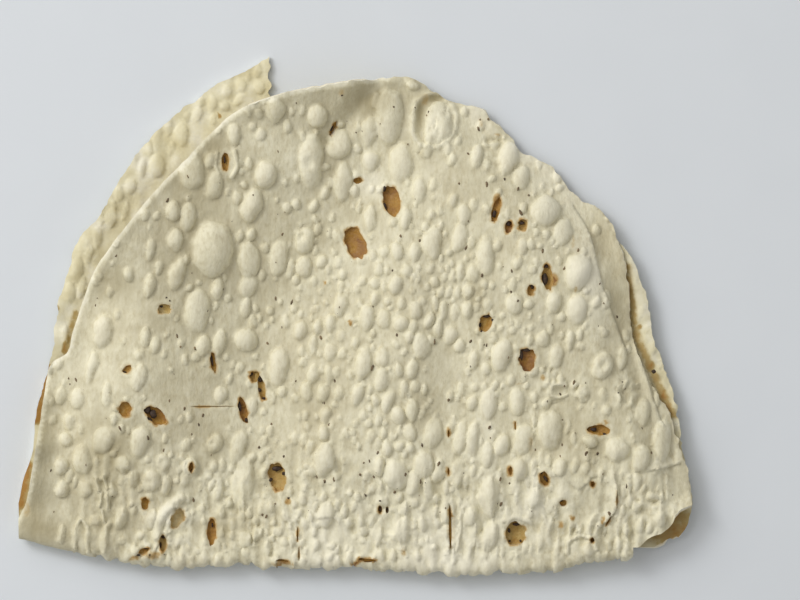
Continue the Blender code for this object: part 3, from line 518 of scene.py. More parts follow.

# Toasted places and painted shade (below 0), pale places and painted light (above 0), the painted
# ones where slopes and edges turn from or towards the light: x, y, reach in x, reach in y, tone
TONES_AND_PAINTED_LIGHT = (
    (-50, 24, 14, 16, -0.45), (-40, 38, 9, 8, -0.25), (-25, 12, 8, 10, -0.3),
    (-10, -24, 7, 10, -0.35), (20, -24, 6, 10, -0.3), (-72, -46, 9, 16, -0.55),
    (-91, -56, 4, 10, -0.55), (-25, -46, 6, 8, -0.35), (-88, -34, 2.5, 12, -0.5),
    (-84, -60, 7, 3.5, -0.45), (-70, -62, 8, 4, -0.35), (-84, -24, 4, 6, -0.3),
    (-39, -60, 6, 4, -0.35), (-40, 46, 6, 5, -0.3), (-34, -58, 10, 8, -0.3), (5, 60, 9, 5, -0.5),
    (20, 62, 5, 3, -0.3), (-40, -12, 7, 6, -0.25), (74, 2, 3, 14, -0.5), (70, 22, 3, 6, -0.5),
    (65, 6, 5, 12, 0.4), (58, 40, 8, 6, 0.6), (48, 48, 6, 5, 0.6), (36, 57, 5, 4, 0.6),
    (-10, -60, 10, 7, 0.6), (24, -62, 14, 7, 0.5), (50, -54, 8, 9, 0.3), (4, 46, 4, 4, 0.4),
    (18.6, 57.5, 1.2, 4, -0.8), (22.5, 61.8, 3.5, 1.0, -0.7), (-58, 2, 6, 8, -0.2),
    (-69, 9, 4, 6, -0.6), (-40, 49, 5, 5, -0.4), (-25, 59, 5, 4, -0.5), (-9, 50, 4, 12, -0.35),
    (5, 61, 7, 4, -0.4), (20, 47, 4, 4, -0.3), (35, 5, 3, 9, -0.4), (66, -40, 7, 20, -0.35),
    (82, -24, 5, 16, -0.5), (-40, -36, 5, 5, -0.5), (-68, -37, 6, 6, -0.35), (-10, 22, 4, 5, -0.4),
    (50, 48, 5, 4, 0.5), (36, 60, 5, 3, 0.5), (66, 34, 5, 5, 0.5), (66, 12, 4, 5, 0.5),
    (4, 37, 5, 4, 0.8), (-52.5, -55.5, 3, 3, 0.9), (-55, 0, 8, 7, -0.3), (60, -36, 8, 8, -0.15),
    (38, -30, 6, 14, 0.3), (-24, 48, 4, 4, 0.3), (28, -70, 14, 4, 0.6), (-8, -69, 8, 3, 0.5),
    (50, -50, 8, 9, 0.3),
)


def smooth(amount):
    """An even S-shaped rise from 0 to 1."""
    amount = np.clip(amount, 0.0, 1.0)
    return amount * amount * (3.0 - 2.0 * amount)


def curve_through(points, step):
    """Points about one step apart on a rounded line through the given ones."""
    points = np.array(points, dtype=float)
    before = np.vstack([2 * points[0] - points[1], points[:-1]])
    after = np.vstack([points[1:], 2 * points[-1] - points[-2]])
    lean = (after - before) / 2
    line = []
    for i in range(len(points) - 1):
        span = np.linalg.norm(points[i + 1] - points[i])
        count = max(1, round(span / step))
        for k in range(count):
            t = k / count
            line.append(
                (2 * t**3 - 3 * t**2 + 1) * points[i]
                + (t**3 - 2 * t**2 + t) * lean[i]
                + (3 * t**2 - 2 * t**3) * points[i + 1]
                + (t**3 - t**2) * lean[i + 1]
            )
    line.append(points[-1])
    return np.array(line)


def straight_through(points, step):
    """Points about one step apart on straight pieces between the given ones."""
    points, line = np.array(points, dtype=float), []
    for start, end in zip(points[:-1], points[1:]):
        count = max(1, round(np.linalg.norm(end - start) / step))
        line.extend(start + (end - start) * k / count for k in range(count))
    return np.vstack([line, points[-1:]])


def path_distance(x, y, path):
    """Distance of each place from a line of straight pieces."""
    nearest = np.full(np.shape(x), 1e9)
    for (ax, ay), (bx, by) in zip(path[:-1], path[1:]):
        ahead_x, ahead_y = bx - ax, by - ay
        along = ((x - ax) * ahead_x + (y - ay) * ahead_y) / max(ahead_x**2 + ahead_y**2, 1e-12)
        along = np.clip(along, 0.0, 1.0)
        nearest = np.minimum(nearest, np.hypot(x - ax - along * ahead_x, y - ay - along * ahead_y))
    return nearest


def edge_distance(x, y, outline):
    """Distance of each place from a closed outline."""
    return path_distance(x, y, np.vstack([outline, outline[:1]]))


def curl(x, y, path, reach):
    """A rise from 0 that steepens to 1 on the path, as an edge curls."""
    return np.clip(1.0 - path_distance(x, y, path) / reach, 0.0, None) ** 2


def inside(x, y, outline):
    """Whether each place lies inside a closed outline."""
    hit = np.zeros(np.shape(x), dtype=bool)
    for (ax, ay), (bx, by) in zip(outline, np.roll(outline, -1, axis=0)):
        if ay != by:
            crosses = (ay > y) != (by > y)
            hit ^= crosses & (x < ax + (y - ay) * (bx - ax) / (by - ay))
    return hit


def near_spot(x, y, middle, size):
    """Which places lie within a size of a middle, in x and in y."""
    return np.flatnonzero((np.abs(x - middle[0]) < size) & (np.abs(y - middle[1]) < size))


def near_path(x, y, path, reach):
    """Which places may be as near a path as the reach."""
    low, high = np.min(path, axis=0) - reach, np.max(path, axis=0) + reach
    return np.flatnonzero((x > low[0]) & (x < high[0]) & (y > low[1]) & (y < high[1]))


def turned(across, along, angle):
    """Shifts in x and y, turned to the left by an angle in radians."""
    cosine, sine = math.cos(angle), math.sin(angle)
    return across * cosine - along * sine, across * sine + along * cosine


def reach_of(x, y, spot, lean=0.0):
    """Distance from the middle of a leaning oval spot, as a share of its half sizes."""
    across, along = turned(x - spot[0], y - spot[1], -lean)
    return np.hypot(across / spot[2], along / spot[3])


def bell(x, y, spot):
    """1 in the middle of a spot, falling softly to 0 round it."""
    return np.exp(-(((x - spot[0]) / spot[2]) ** 2) - ((y - spot[1]) / spot[3]) ** 2)


def front_right(x, y, part):
    """A rise from 0 to 1 towards the right and the front."""
    start_x, rise_x, start_y, rise_y = part
    return smooth((x - start_x) / rise_x) * smooth((-y - start_y) / rise_y)


def lattice_noise(x, y, size_x, size_y, seed):
    """Smooth random waves between -1 and 1, as wide as the sizes."""
    count = 256
    values = np.random.RandomState(seed).uniform(-1.0, 1.0, (count, count))
    across, along = x / size_x + 1000.0, y / size_y + 1000.0
    column, row = np.floor(across).astype(int), np.floor(along).astype(int)
    right, up = smooth(across - column), smooth(along - row)
    low, high = (
        values[line % count, column % count] * (1 - right)
        + values[line % count, (column + 1) % count] * right
        for line in (row, row + 1)
    )
    return low * (1 - up) + high * up


def waves(x, y, table):
    """The sum of the random waves in a table."""
    return sum(height * lattice_noise(x, y, *rest) for height, *rest in table)


def creases(x, y, sizes):
    """Sharp crests where a random wave changes sign, from -1 up to 1."""
    return 1.0 - 2.0 * np.abs(lattice_noise(x, y, *sizes))


def fold_front(x):
    """y of the front of the fold, rounded along its length."""
    line = np.array(FOLD_LINE).T
    return sum(np.interp(x + shift, *line) for shift in FRONT_SHIFTS) / len(FRONT_SHIFTS)


def fold_depth(x):
    """Half width of the crease in plan, widest at its left end."""
    return np.interp(x, *FOLD_DEPTHS)


def fold_rise(x):
    """Half height of the crease."""
    return np.interp(x, *FOLD_RISES)


def front_ragged(x):
    """How far the broken front of the crease stands out, in millimetres."""
    ragged = waves(x, 0 * x, FRONT_WAVES) + 0.5 * np.round(waves(x, 0 * x, FRONT_STEPS))
    return ragged * smooth((x + 84) / 14)


def lower_height(x, y):
    """Height of the middle of the lower leaf."""
    height = 0.5 + 0.5 * np.sin(x / RIPPLE_LENGTH * 2.1 + 0.6) * np.cos(y / RIPPLE_LENGTH * 2.6)
    height = height * RIPPLE_HEIGHT
    for spot_x, spot_y, radius in REST_SPOTS:
        height = height * smooth((np.hypot(x - spot_x, y - spot_y) - radius) / REST_FADE)
    for path, reach, lift in LOWER_CURLS:
        height = height + lift * curl(x, y, path, reach)
    return SHEET_THICKNESS / 2 + height


def upper_height(x, y):
    """Height of the middle of the upper leaf, without its blisters."""
    crease = 2 * fold_rise(x)
    from_fold = np.clip(y - fold_front(x) - fold_depth(x), 0.0, None)
    fade = smooth(from_fold / FOLD_FADE)
    gap = crease + (LEAF_GAP - crease) * smooth(from_fold / GAP_RISE)
    valley = np.exp(-((path_distance(x, y, VALLEY) / VALLEY_REACH) ** 2))
    gap = gap - VALLEY_DEPTH * valley * smooth(from_fold / VALLEY_FADE)
    for path, reach, least in TOUCHES:
        gap = gap + (least - gap) * smooth(1.0 - path_distance(x, y, path) / reach) * fade
    for spot in UPPER_SWELLS:
        gap = gap + spot[4] * bell(x, y, spot) * fade
    for path, reach, height in UPPER_CURLS:
        gap = gap + height * curl(x, y, path, reach) * fade
    groove = GROOVE_DEPTH * smooth(1.0 - path_distance(x, y, GROOVE) / GROOVE_REACH)
    return lower_height(x, y) + gap - groove


def flatten(x, y, side):
    """Flat places of plan points on the upper (+1) or lower (-1) leaf."""
    depth = fold_depth(x)
    into = np.clip((y - fold_front(x)) / depth, 0.0, None)
    turn = np.where(into < 1.0, np.arccos(1.0 - np.minimum(into, 1.0)), math.pi / 2 + into - 1.0)
    return np.stack([x, side * turn * depth], axis=-1)


def plan_of(flat):
    """Plan x and y of flat places, once the sheet is folded up."""
    x, depth = flat[:, 0], fold_depth(flat[:, 0])
    across = flat[:, 1] / depth
    turn = np.clip(across, -math.pi / 2, math.pi / 2)
    into = depth * (1.0 - np.cos(turn) + np.abs(across - turn))
    return x, fold_front(x) + into - front_ragged(x) * np.exp(-((flat[:, 1] / 2.6) ** 2))


def fold_up(flat):
    """Places in space of the middle of the sheet."""
    x, y = plan_of(flat)
    depth = fold_depth(x)
    across = flat[:, 1] / depth
    turn = np.clip(across, -math.pi / 2, math.pi / 2)
    crease_z = lower_height(x, fold_front(x) + depth) + fold_rise(x) * (1.0 + np.sin(turn))
    on_upper, on_lower = across > math.pi / 2, across < -math.pi / 2
    z = np.where(on_upper, upper_height(x, y), np.where(on_lower, lower_height(x, y), crease_z))
    return np.stack([x, y, z], axis=-1)


def outward(flat):
    """Directions in which the outer face looks, at flat places."""
    along_u, along_v = (fold_up(flat + step) - fold_up(flat - step)
                        for step in (np.array([0.4, 0.0]), np.array([0.0, 0.4])))
    normal = np.cross(along_u, along_v)
    return normal / np.linalg.norm(normal, axis=1, keepdims=True)


def warp(x, y):
    """Plan places shifted a little, so that what is round comes out uneven."""
    return x + waves(x, y, WARP_X_WAVES), y + waves(x, y, WARP_Y_WAVES)


def unwarp(x, y):
    """Places that warp() moves to the given ones."""
    found_x, found_y = x, y
    for _ in range(3):
        moved_x, moved_y = warp(found_x, found_y)
        found_x, found_y = found_x + x - moved_x, found_y + y - moved_y
    return found_x, found_y


def lean_of(index):
    """Lean of one blister in a table; most lean a little to the right."""
    return -0.13 + 0.1 * math.sin(2.4 * index)


def add_domes(relief, x, y, spots, rise):
    """Raise rounded domes in a relief, each with a faint sunken ring round it."""
    for index, spot in enumerate(spots):
        near = near_spot(x, y, spot, 1.5 * max(spot[2:4]))
        reach = reach_of(x[near], y[near], spot, lean_of(index))
        own_rise = rise * spot[2] * (1.0 + UNEVEN_RISE * math.sin(5.1 * index))
        height = spot[4] if len(spot) > 4 else own_rise
        dome = height * np.clip(1.0 - reach**2, 0.0, None) ** DOME_POWER
        ring = RING_HEIGHT * height * np.exp(-(((reach - RING_PLACE) / RING_WIDTH) ** 2))
        relief[near] = np.where(reach < 1.0, np.maximum(relief[near], dome), relief[near] + ring)
    return relief


def crest_points(spots):
    """Plan points on the feet and shoulders of domes, which keep their edges crisp."""
    points = []
    for index, spot in enumerate(spots):
        for share in SMALL_CRESTS if spot[2] < LARGE_FROM else LARGE_CRESTS:
            around = 2 * math.pi * share * math.hypot(spot[2], spot[3]) / math.sqrt(2)
            angles = np.arange(max(8, round(around / CREST_STEP)))
            angles = (angles + 0.5 * (share < 1)) * 2 * math.pi / len(angles)
            across, along = turned(share * spot[2] * np.cos(angles),
                                   share * spot[3] * np.sin(angles), lean_of(index))
            points.append(np.stack([spot[0] + across, spot[1] + along], axis=-1))
    return np.stack(unwarp(*np.vstack(points).T), axis=-1)


def beside_path(path, shifts):
    """Points on lines that run beside a path, at the given distances from it."""
    line = curve_through(path, CREST_STEP)
    ahead = np.gradient(line, axis=0)
    across = np.stack([-ahead[:, 1], ahead[:, 0]], axis=-1)
    across /= np.linalg.norm(across, axis=1, keepdims=True)
    return np.vstack([line + shift * across for shift in shifts])


def side_of_path(x, y, path):
    """On which side of a path each place is, above 0 on the left, and how far from it."""
    line = curve_through(path, 0.8)
    nearest, side = np.full(np.shape(x), 1e9), np.zeros(np.shape(x))
    for (ax, ay), (bx, by) in zip(line[:-1], line[1:]):
        gap = path_distance(x, y, ((ax, ay), (bx, by)))
        side = np.where(gap < nearest, (bx - ax) * (y - ay) - (by - ay) * (x - ax), side)
        nearest = np.minimum(nearest, gap)
    return side, nearest


def add_ridges(relief, x, y):
    """Raise the rounded ridges in a relief."""
    for path, half_width, height in RIDGES:
        near = near_path(x, y, path, half_width + 0.5)
        gap = path_distance(x[near], y[near], curve_through(path, 0.5)) / half_width
        ridge = height * np.clip(1.0 - gap**2, 0.0, None) ** DOME_POWER
        relief[near] = np.maximum(relief[near], ridge)


def add_steps(relief, x, y):
    """Raise the left-hand side of each step, less and less away from it."""
    for path, height, fade in STEPS:
        near = near_path(x, y, path, fade)
        side, gap = side_of_path(x[near], y[near], path)
        relief[near] += height * (side > 0) * np.clip(1.0 - gap / fade, 0.0, None) ** 1.5


def press_dimples(relief, x, y):
    """Sink the tops of broken blisters in a relief."""
    for spot in DIMPLES:
        near = near_spot(x, y, spot, 4.0)
        relief[near] -= spot[4] * smooth(1.35 - reach_of(x[near], y[near], spot))


def scattered_blisters():
    """Small blisters in the places that the larger ones leave, by a seeded draw."""
    generator = random.Random(SEED)
    taken = [spot[:4] for spot in UPPER_BLISTERS + SMALL_BLISTERS + HOLES + (BURST_BLISTER,)]
    listed = len(taken)
    smooth_places = np.array(SMOOTH_PLACES, dtype=float).T
    for _ in range(SCATTER_TRIES):
        x, y = generator.uniform(*SCATTER_X), generator.uniform(*SCATTER_Y)
        crowd = max(bell(x, y, CROWD), 0.8 * front_right(x, y, SCATTER_FRONT))
        stretched = front_right(x, y, SCATTER_STRETCH)
        half_width = generator.uniform(*SCATTER_WIDTHS) * (1 - 0.2 * stretched)
        half_length = half_width * generator.uniform(*SCATTER_LENGTHS) * (1 + 0.7 * stretched)
        calm = reach_of(x, y, smooth_places).min() < 1
        if calm or generator.random() > SCATTER_BASE + (1 - SCATTER_BASE) * crowd:
            continue
        at_x, at_y, widths, lengths = np.array(taken).T
        apart = reach_of(x, y, (at_x, at_y, widths + half_width, lengths + half_length))
        if apart.min() > SCATTER_ROOM:
            taken.append((x, y, half_width, half_length))
    return tuple(taken[listed:])


SCATTERED = scattered_blisters()


def upper_relief(x, y):
    """Everything that stands out of or sinks into the top of the upper leaf."""
    warped = warp(x, y)
    relief = np.zeros(len(x))
    for spots, rise in ((SCATTERED, SCATTERED_RISE), (SMALL_BLISTERS, SMALL_RISE),
                        (UPPER_BLISTERS, BLISTER_RISE)):
        add_domes(relief, *warped, spots, rise)
    burst = reach_of(*warped, BURST_BLISTER) + waves(x, y, BURST_WAVES)
    wall = np.exp(-(((burst - BURST_WALL) / BURST_REACH) ** 2))
    relief += BURST_HEIGHT * wall * (1.0 + waves(x, y, BURST_WALL_WAVES))
    relief -= BURST_DEPTH * smooth((BURST_WALL - burst) / BURST_FADE)
    add_domes(relief, *warped, BURST_LOBES, 0.0)
    press_dimples(relief, *warped)
    add_ridges(relief, x, y)
    add_steps(relief, x, y)
    relief += front_right(x, y, STRETCHED) * waves(x, y, STRETCH_WAVES)
    low = front_right(x, y, CRUMPLED) * (1.0 - smooth(2.0 - 1.6 * reach_of(x, y, CALM_CORNER)))
    relief += (0.09 + 0.4 * low) * np.clip(creases(*warped, CRUMPLE), -0.4, 1.0)
    relief += 0.42 * low * np.clip(creases(x, y, FOLDS), -0.3, 1.0)
    relief += 0.16 * low * creases(*warped, FLAKES)
    wrinkles = creases(*warped, WRINKLES)
    for spot in WRINKLED:
        relief += 1.3 * spot[4] * smooth(1.6 - 1.6 * reach_of(x, y, spot)) * wrinkles
    return relief + waves(x, y, TOP_WAVES)


def lower_inside_relief(x, y):
    """Relief of the inner face of the lower leaf, which shows behind the upper leaf."""
    blisters = add_domes(np.zeros(len(x)), *warp(x, y), LOWER_BLISTERS, LOWER_RISE)
    return blisters + waves(x, y, INSIDE_WAVES)


def bottom_relief(x, y):
    """Relief of the face that the papadum rests on."""
    generator = random.Random(SEED + 1)
    spots = []
    for _ in range(BOTTOM_BLISTERS):
        half_width = generator.uniform(*BOTTOM_WIDTHS)
        spots.append((generator.uniform(*BOTTOM_X), generator.uniform(*BOTTOM_Y), half_width,
                      half_width * generator.uniform(*BOTTOM_LENGTHS)))
    return add_domes(np.zeros(len(x)), *warp(x, y), spots, BOTTOM_RISE) + waves(x, y, BOTTOM_WAVES)


def flat_outline():
    """Outline of the unfolded sheet, once round, with a ragged edge."""
    parts = [np.array([[UPPER_EDGE[0][0], v] for v in (-4.0, -2.0, 0.0, 2.0, 4.0)])]
    for points, through, side in (
            (UPPER_EDGE, curve_through, 1), (TEAR, straight_through, 1), (None, None, 0),
            (LOWER_EDGE_RIGHT, curve_through, -1), (BROKEN_TIP, straight_through, -1),
            (LOWER_EDGE_LEFT, curve_through, -1)):
        if side:
            parts.append(flatten(*through(points, RIM_STEP).T, side))
        else:
            parts.append(np.array([[TEAR_END_X, v] for v in (3.0, 1.5, 0.0, -1.5, -3.0)]))
    outline = np.vstack(parts)
    u, v = outline.T
    ragged = waves(u, v, RIM_WAVES)
    ragged *= 0.22 + 0.78 * np.maximum(smooth((u + 26) / 14), smooth((-v - 30) / 30))
    ahead = np.roll(outline, -1, axis=0) - np.roll(outline, 1, axis=0)
    across = np.stack([ahead[:, 1], -ahead[:, 0]], axis=-1)
    across /= np.linalg.norm(across, axis=1, keepdims=True)
    return outline + ragged[:, None] * across


def opening_outline(spot, seed):
    """Uneven plan outline of an opening in the upper leaf."""
    centre_x, centre_y, half_width, half_length, turn = spot[:5]
    sides = max(10, round(math.pi * (half_width + half_length) / HOLE_STEP))
    angles = np.arange(sides) * 2 * math.pi / sides
    cosines, sines = np.cos(angles), np.sin(angles)
    uneven = lattice_noise(3 * cosines, 3 * sines, 1, 1, seed)
    uneven = 1 + min(MOST_UNEVEN, UNEVEN_SHARE * half_width) * uneven
    across, along = turned(half_width * uneven * cosines, half_length * uneven * sines,
                           math.radians(turn))
    return np.stack([centre_x + across, centre_y + along], axis=-1)


OPENING_OUTLINES = [opening_outline(spot, OPENING_SEED + index)
                    for index, spot in enumerate(OPENINGS)]


def thin_out(points, least):
    """The points without those that share a cell as wide as the least distance."""
    cells = np.floor(points / least).astype(int)
    first = np.unique(cells, axis=0, return_index=True)[1]
    return points[np.sort(first)]


def outer_crests():
    """Flat places of the edges in the relief of the upper leaf's top."""
    domes = (UPPER_BLISTERS, SMALL_BLISTERS, SCATTERED, BURST_LOBES)
    plans = [crest_points(spots) for spots in domes]
    for path, half_width, _ in RIDGES:
        plans.append(beside_path(path, [share * half_width for share in (-1, -0.7, 0, 0.7, 1)]))
    for path, _, _ in STEPS:
        plans.append(beside_path(path, (-0.12, 0.12)))
    return thin_out(flatten(*np.vstack(plans).T, 1), CREST_GAP)


def inner_crests():
    """Flat places of the edges in the relief of the lower leaf's inside."""
    return thin_out(flatten(*crest_points(LOWER_BLISTERS).T, -1), CREST_GAP)


def near_opening(u, v, outline, margin):
    """Which places are in the box round an opening, with a margin."""
    size = (outline.max(axis=0) - outline.min(axis=0)).max() / 2 + margin
    return near_spot(u, v, outline.mean(axis=0), size)


def filling(outline, holes, upper_step, lower_step, crests):
    """Inner points of one face of the unfolded sheet: the crests, and an even spread between."""
    low, high = outline.min(axis=0), outline.max(axis=0)
    points = []
    for side, step in ((1, upper_step), (-1, lower_step)):
        first = 0.0 if side > 0 else step * 0.8
        columns = np.arange(low[0], high[0], step)
        for row, v in enumerate(np.arange(first, max(high[1], -low[1]), step * math.sqrt(0.75))):
            shifted = columns + (row % 2) * step / 2
            points.append(np.stack([shifted, 0 * shifted + side * v, 0 * shifted + step], axis=-1))
    points = np.vstack(points)
    jitter = np.random.RandomState(SEED).uniform(-JITTER, JITTER, (len(points), 2))
    points[:, :2] += jitter * points[:, 2:]
    tree = KDTree(len(crests))
    for index, (u, v) in enumerate(crests):
        tree.insert((u, v, 0.0), index)
    tree.balance()
    apart = np.array([tree.find((u, v, 0.0))[2] for u, v, _ in points])
    points = points[apart > 0.45 * np.minimum(points[:, 2], TOP_STEP)]
    points = np.vstack([points, np.column_stack([crests, np.full(len(crests), CREST_GAP)])])
    u, v, step = points.T
    keep = inside(u, v, outline) & (edge_distance(u, v, outline) > 0.5 * np.minimum(step, 1.4))
    for hole in holes:
        near = near_opening(u, v, hole, 3.0)
        clear = edge_distance(u[near], v[near], hole) > 0.5 * np.minimum(step[near], 1.0)
        keep[near] &= clear & ~inside(u[near], v[near], hole)
    return points[keep, :2]


def triangulate(loops, inner):
    """Flat places and triangles of one face, and which of the places lie on the loops."""
    points, edges = [], []
    for loop in loops:
        start, count = len(points), len(loop)
        points.extend(loop)
        edges.extend((start + i, start + (i + 1) % count) for i in range(count))
    rim_count = len(points)
    points.extend(inner)
    made = delaunay_2d_cdt([tuple(point) for point in points], edges, [], 1, 1e-6, True)
    flat, triangles = np.array([tuple(point) for point in made[0]]), np.array(made[2])
    place = np.zeros(len(points), dtype=int)
    for index, sources in enumerate(made[3]):
        place[list(sources)] = index
    u, v = flat[triangles].mean(axis=1).T
    keep = inside(u, v, loops[0])
    for hole in loops[1:]:
        near = near_opening(u, v, hole, 1.0)
        keep[near] &= ~inside(u[near], v[near], hole)
    return flat, triangles[keep], place[:rim_count]


def opening_nearness(x, y, reach):
    """1 at the edge of an opening in the upper leaf, falling to 0 at the reach."""
    nearness = np.zeros(len(x))
    for spot, outline in zip(OPENINGS, OPENING_OUTLINES):
        near = near_spot(x, y, spot, max(spot[2:4]) + reach)
        stained = min(reach, LEAST_STAIN + STAIN_SHARE * min(spot[2:4]))
        edge = np.clip(1.0 - edge_distance(x[near], y[near], outline) / stained, 0.0, None)
        nearness[near] = np.maximum(nearness[near], edge)
    return nearness


def stain_strength(x, y, spots):
    """Amber and brown staining at the given spots."""
    warped_x, warped_y = warp(x, y)
    stain = np.zeros(len(x))
    for spot in spots:
        near = near_spot(x, y, spot, max(spot[2:4]) + 3)
        reach = reach_of(warped_x[near], warped_y[near], spot)
        stain[near] = np.maximum(stain[near], spot[4] * smooth(1.4 - reach))
    return stain


def tone_and_painted_light(x, y, relief):
    """The upper leaf's top tone, toasting and painted shade below 0, paleness and painted light
    above 0: paler on what stands up and darker at the blisters' feet, partly the dough's own
    colour and partly painted light and shade of the relief, plus the listed spots.
    """
    tone = 0.3 * smooth(relief / 1.3) - 0.3 * smooth((0.22 - relief) / 0.3)
    for spot in TONES_AND_PAINTED_LIGHT:
        tone = tone + spot[4] * bell(x, y, spot)
    return tone + waves(x, y, TONE_WAVES)


def add_mesh(name, points, faces, materials, face_materials=None):
    """A smooth mesh object from points in millimetres."""
    mesh = bpy.data.meshes.new(name)
    mesh.from_pydata((points * MM).tolist(), [], faces)
    mesh.shade_smooth()
    for material in materials:
        mesh.materials.append(material)
    if face_materials is not None:
        mesh.polygons.foreach_set("material_index", face_materials)
    mesh.update()
    piece = bpy.data.objects.new(name, mesh)
    bpy.context.scene.collection.objects.link(piece)
    return piece


def add_mask(mesh, name, values):
    """Store one value for each point of a mesh, for its material."""
    mask = mesh.attributes.new(name, "FLOAT", "POINT")
    mask.data.foreach_set("value", np.ascontiguousarray(values, dtype=np.float32))


def mark_sharp(mesh, pairs, outer_rim):
    """Sharp edges where the broken rim meets the faces, so that it shades as its own face."""
    wanted = {tuple(sorted((int(a), int(b)))) for a, b in pairs
              if (int(a) in outer_rim) == (int(b) in outer_rim)}
    ends = np.empty(len(mesh.edges) * 2, dtype=np.int32)
    mesh.edges.foreach_get("vertices", ends)
    sharp = [tuple(sorted(pair)) in wanted for pair in ends.reshape(-1, 2).tolist()]
    mesh.attributes.new("sharp_edge", "BOOLEAN", "EDGE").data.foreach_set("value", sharp)


def outer_face(flat):
    """Outer face: the top of the upper leaf, round the fold, to the bottom of the lower one."""
    x, y = plan_of(flat)
    on_top, v = flat[:, 1] > 0, flat[:, 1]
    relief = np.zeros(len(flat))
    relief[on_top] = upper_relief(x[on_top], y[on_top]) * (0.7 + 0.3 * smooth(v[on_top] / 3.0))
    relief[~on_top] = bottom_relief(x[~on_top], y[~on_top]) * smooth(-v[~on_top] / 9.0)
    nearness = opening_nearness(x, y, OPENING_STAIN) * on_top
    rim = curl(x, y, curve_through(UPPER_EDGE, 2.0), RIM_ROUNDING) * on_top
    relief += 4.0 * OPENING_LIP * nearness * (1.0 - nearness) - 0.5 * RIM_ROUNDING * rim
    points = fold_up(flat) + outward(flat) * (SHEET_THICKNESS / 2 + relief)[:, None]
    points[:, 2] = np.maximum(points[:, 2], 0.0)
    stain, tone = np.zeros(len(flat)), np.zeros(len(flat))
    stain[on_top] = stain_strength(x[on_top], y[on_top], STAINS)
    # Tone of the top: toasting and paleness together with painted light and painted shade
    tone[on_top] = tone_and_painted_light(x[on_top], y[on_top], relief[on_top])
    # Painted highlight: the upper leaf's rim is made pale left of the given x, where its edge
    # faces the light
    tone += RIM_HIGHLIGHT * smooth(2.0 * np.sqrt(rim)) * (x < RIM_HIGHLIGHT_END)
    speckle = 0.5 + waves(x, y, SPECKLE_WAVES)
    return points, np.maximum(stain, nearness**2 * speckle), tone


def inner_face(flat):
    """Inner face: the underside of the upper leaf and the inside of the lower one."""
    x, y = plan_of(flat)
    below = flat[:, 1] <= 0
    relief = waves(x, y, UNDER_WAVES)
    relief[below] = lower_inside_relief(x[below], y[below]) * smooth(-flat[below, 1] / 9.0)
    points = fold_up(flat) - outward(flat) * (SHEET_THICKNESS / 2 + relief)[:, None]
    # Stains and painted shade of the inner face: shade along the gaps, in the torn corner, under
    # the upper leaf and on its underside, with the real amber blister tops and brown stains
    stains_and_shade = [strength * smooth(fade - path_distance(x, y, path) / reach)
              for path, reach, fade, strength in SHADED_GAP_LINES]
    hidden = inside(x, y, np.array(UPPER_EDGE + TEAR)) & below
    blisters = add_domes(np.zeros(len(flat)), *warp(x, y), LOWER_BLISTERS, LOWER_RISE)
    stains_and_shade += [
        CORNER_SHADE_STRENGTH * smooth(1.0 - reach_of(x, y, CORNER_SHADE)),
        HIDDEN_SHADE_STRENGTH * smooth(path_distance(x, y, UPPER_EDGE) / HIDDEN_SHADE_FADE) * hidden,
        TOPS_STRENGTH * smooth((blisters - 0.5) / 0.8),
        UNDER_SHADE_STRENGTH * ~below,
        stain_strength(x, y, INSIDE_STAINS) * below,
    ]
    return points, np.maximum.reduce(stains_and_shade)


def rim_quads(loops, outer_rim, inner_rim):
    """Faces that join the two faces of the sheet along its outline and its openings."""
    quads, start = [], 0
    for loop in loops:
        count, arms = len(loop), loop - loop.mean(axis=0)
        forward = (np.cross(arms, np.roll(arms, -1, axis=0)).sum() > 0) == (start == 0)
        for i in range(count):
            a, b = start + i, start + (i + 1) % count
            quad = (outer_rim[a], inner_rim[a], inner_rim[b], outer_rim[b])
            quads.append(tuple(int(corner) for corner in (quad if forward else quad[::-1])))
        start += count
    return quads


def make_sheet(materials):
    """The whole papadum as one closed mesh."""
    outline, holes = flat_outline(), [flatten(*plan.T, 1) for plan in OPENING_OUTLINES]
    loops = [outline] + holes
    outer_flat, outer_faces, outer_rim = triangulate(
        loops, filling(outline, holes, TOP_STEP, BOTTOM_STEP, outer_crests()))
    inner_flat, inner_faces, inner_rim = triangulate(
        loops, filling(outline, holes, UNDER_STEP, INSIDE_STEP, inner_crests()))
    outer_points, outer_stain, outer_tone_and_light = outer_face(outer_flat)
    inner_points, inner_stain_and_shade = inner_face(inner_flat)
    quads = rim_quads(loops, outer_rim, inner_rim + len(outer_points))
    faces = outer_faces.tolist() + (inner_faces[:, ::-1] + len(outer_points)).tolist() + quads
    slots = [0] * len(outer_faces) + [1] * len(inner_faces) + [2] * len(quads)
    points = np.vstack([outer_points, inner_points])
    sheet = add_mesh("papadum_sheet", points, faces, materials, slots)
    sides = [(quad[k], quad[(k + 1) % 4]) for quad in quads for k in range(4)]
    mark_sharp(sheet.data, sides, set(outer_rim.tolist()))
    # The stain mask holds painted shade on the inner face, and the tone mask painted light and
    # shade on the top, as well as real stains and toasting
    add_mask(sheet.data, "stain", np.concatenate([outer_stain, inner_stain_and_shade]))
    add_mask(sheet.data, "tone", np.concatenate([outer_tone_and_light, np.zeros(len(inner_stain_and_shade))]))
    return sheet


def top_height(x, y):
    """Height of the finished top of the upper leaf, for what lies on it."""
    return upper_height(x, y) + SHEET_THICKNESS / 2 + upper_relief(x, y)


def fan_faces(tip, ring, sides):
    """Triangles from a tip to a ring of points."""
    return [(tip, ring + k, ring + (k + 1) % sides) for k in range(sides)]


def ring_faces(first, second, sides):
    """Quads from one ring of points to another."""
    return [(first + k, second + k, second + (k + 1) % sides, first + (k + 1) % sides)
            for k in range(sides)]


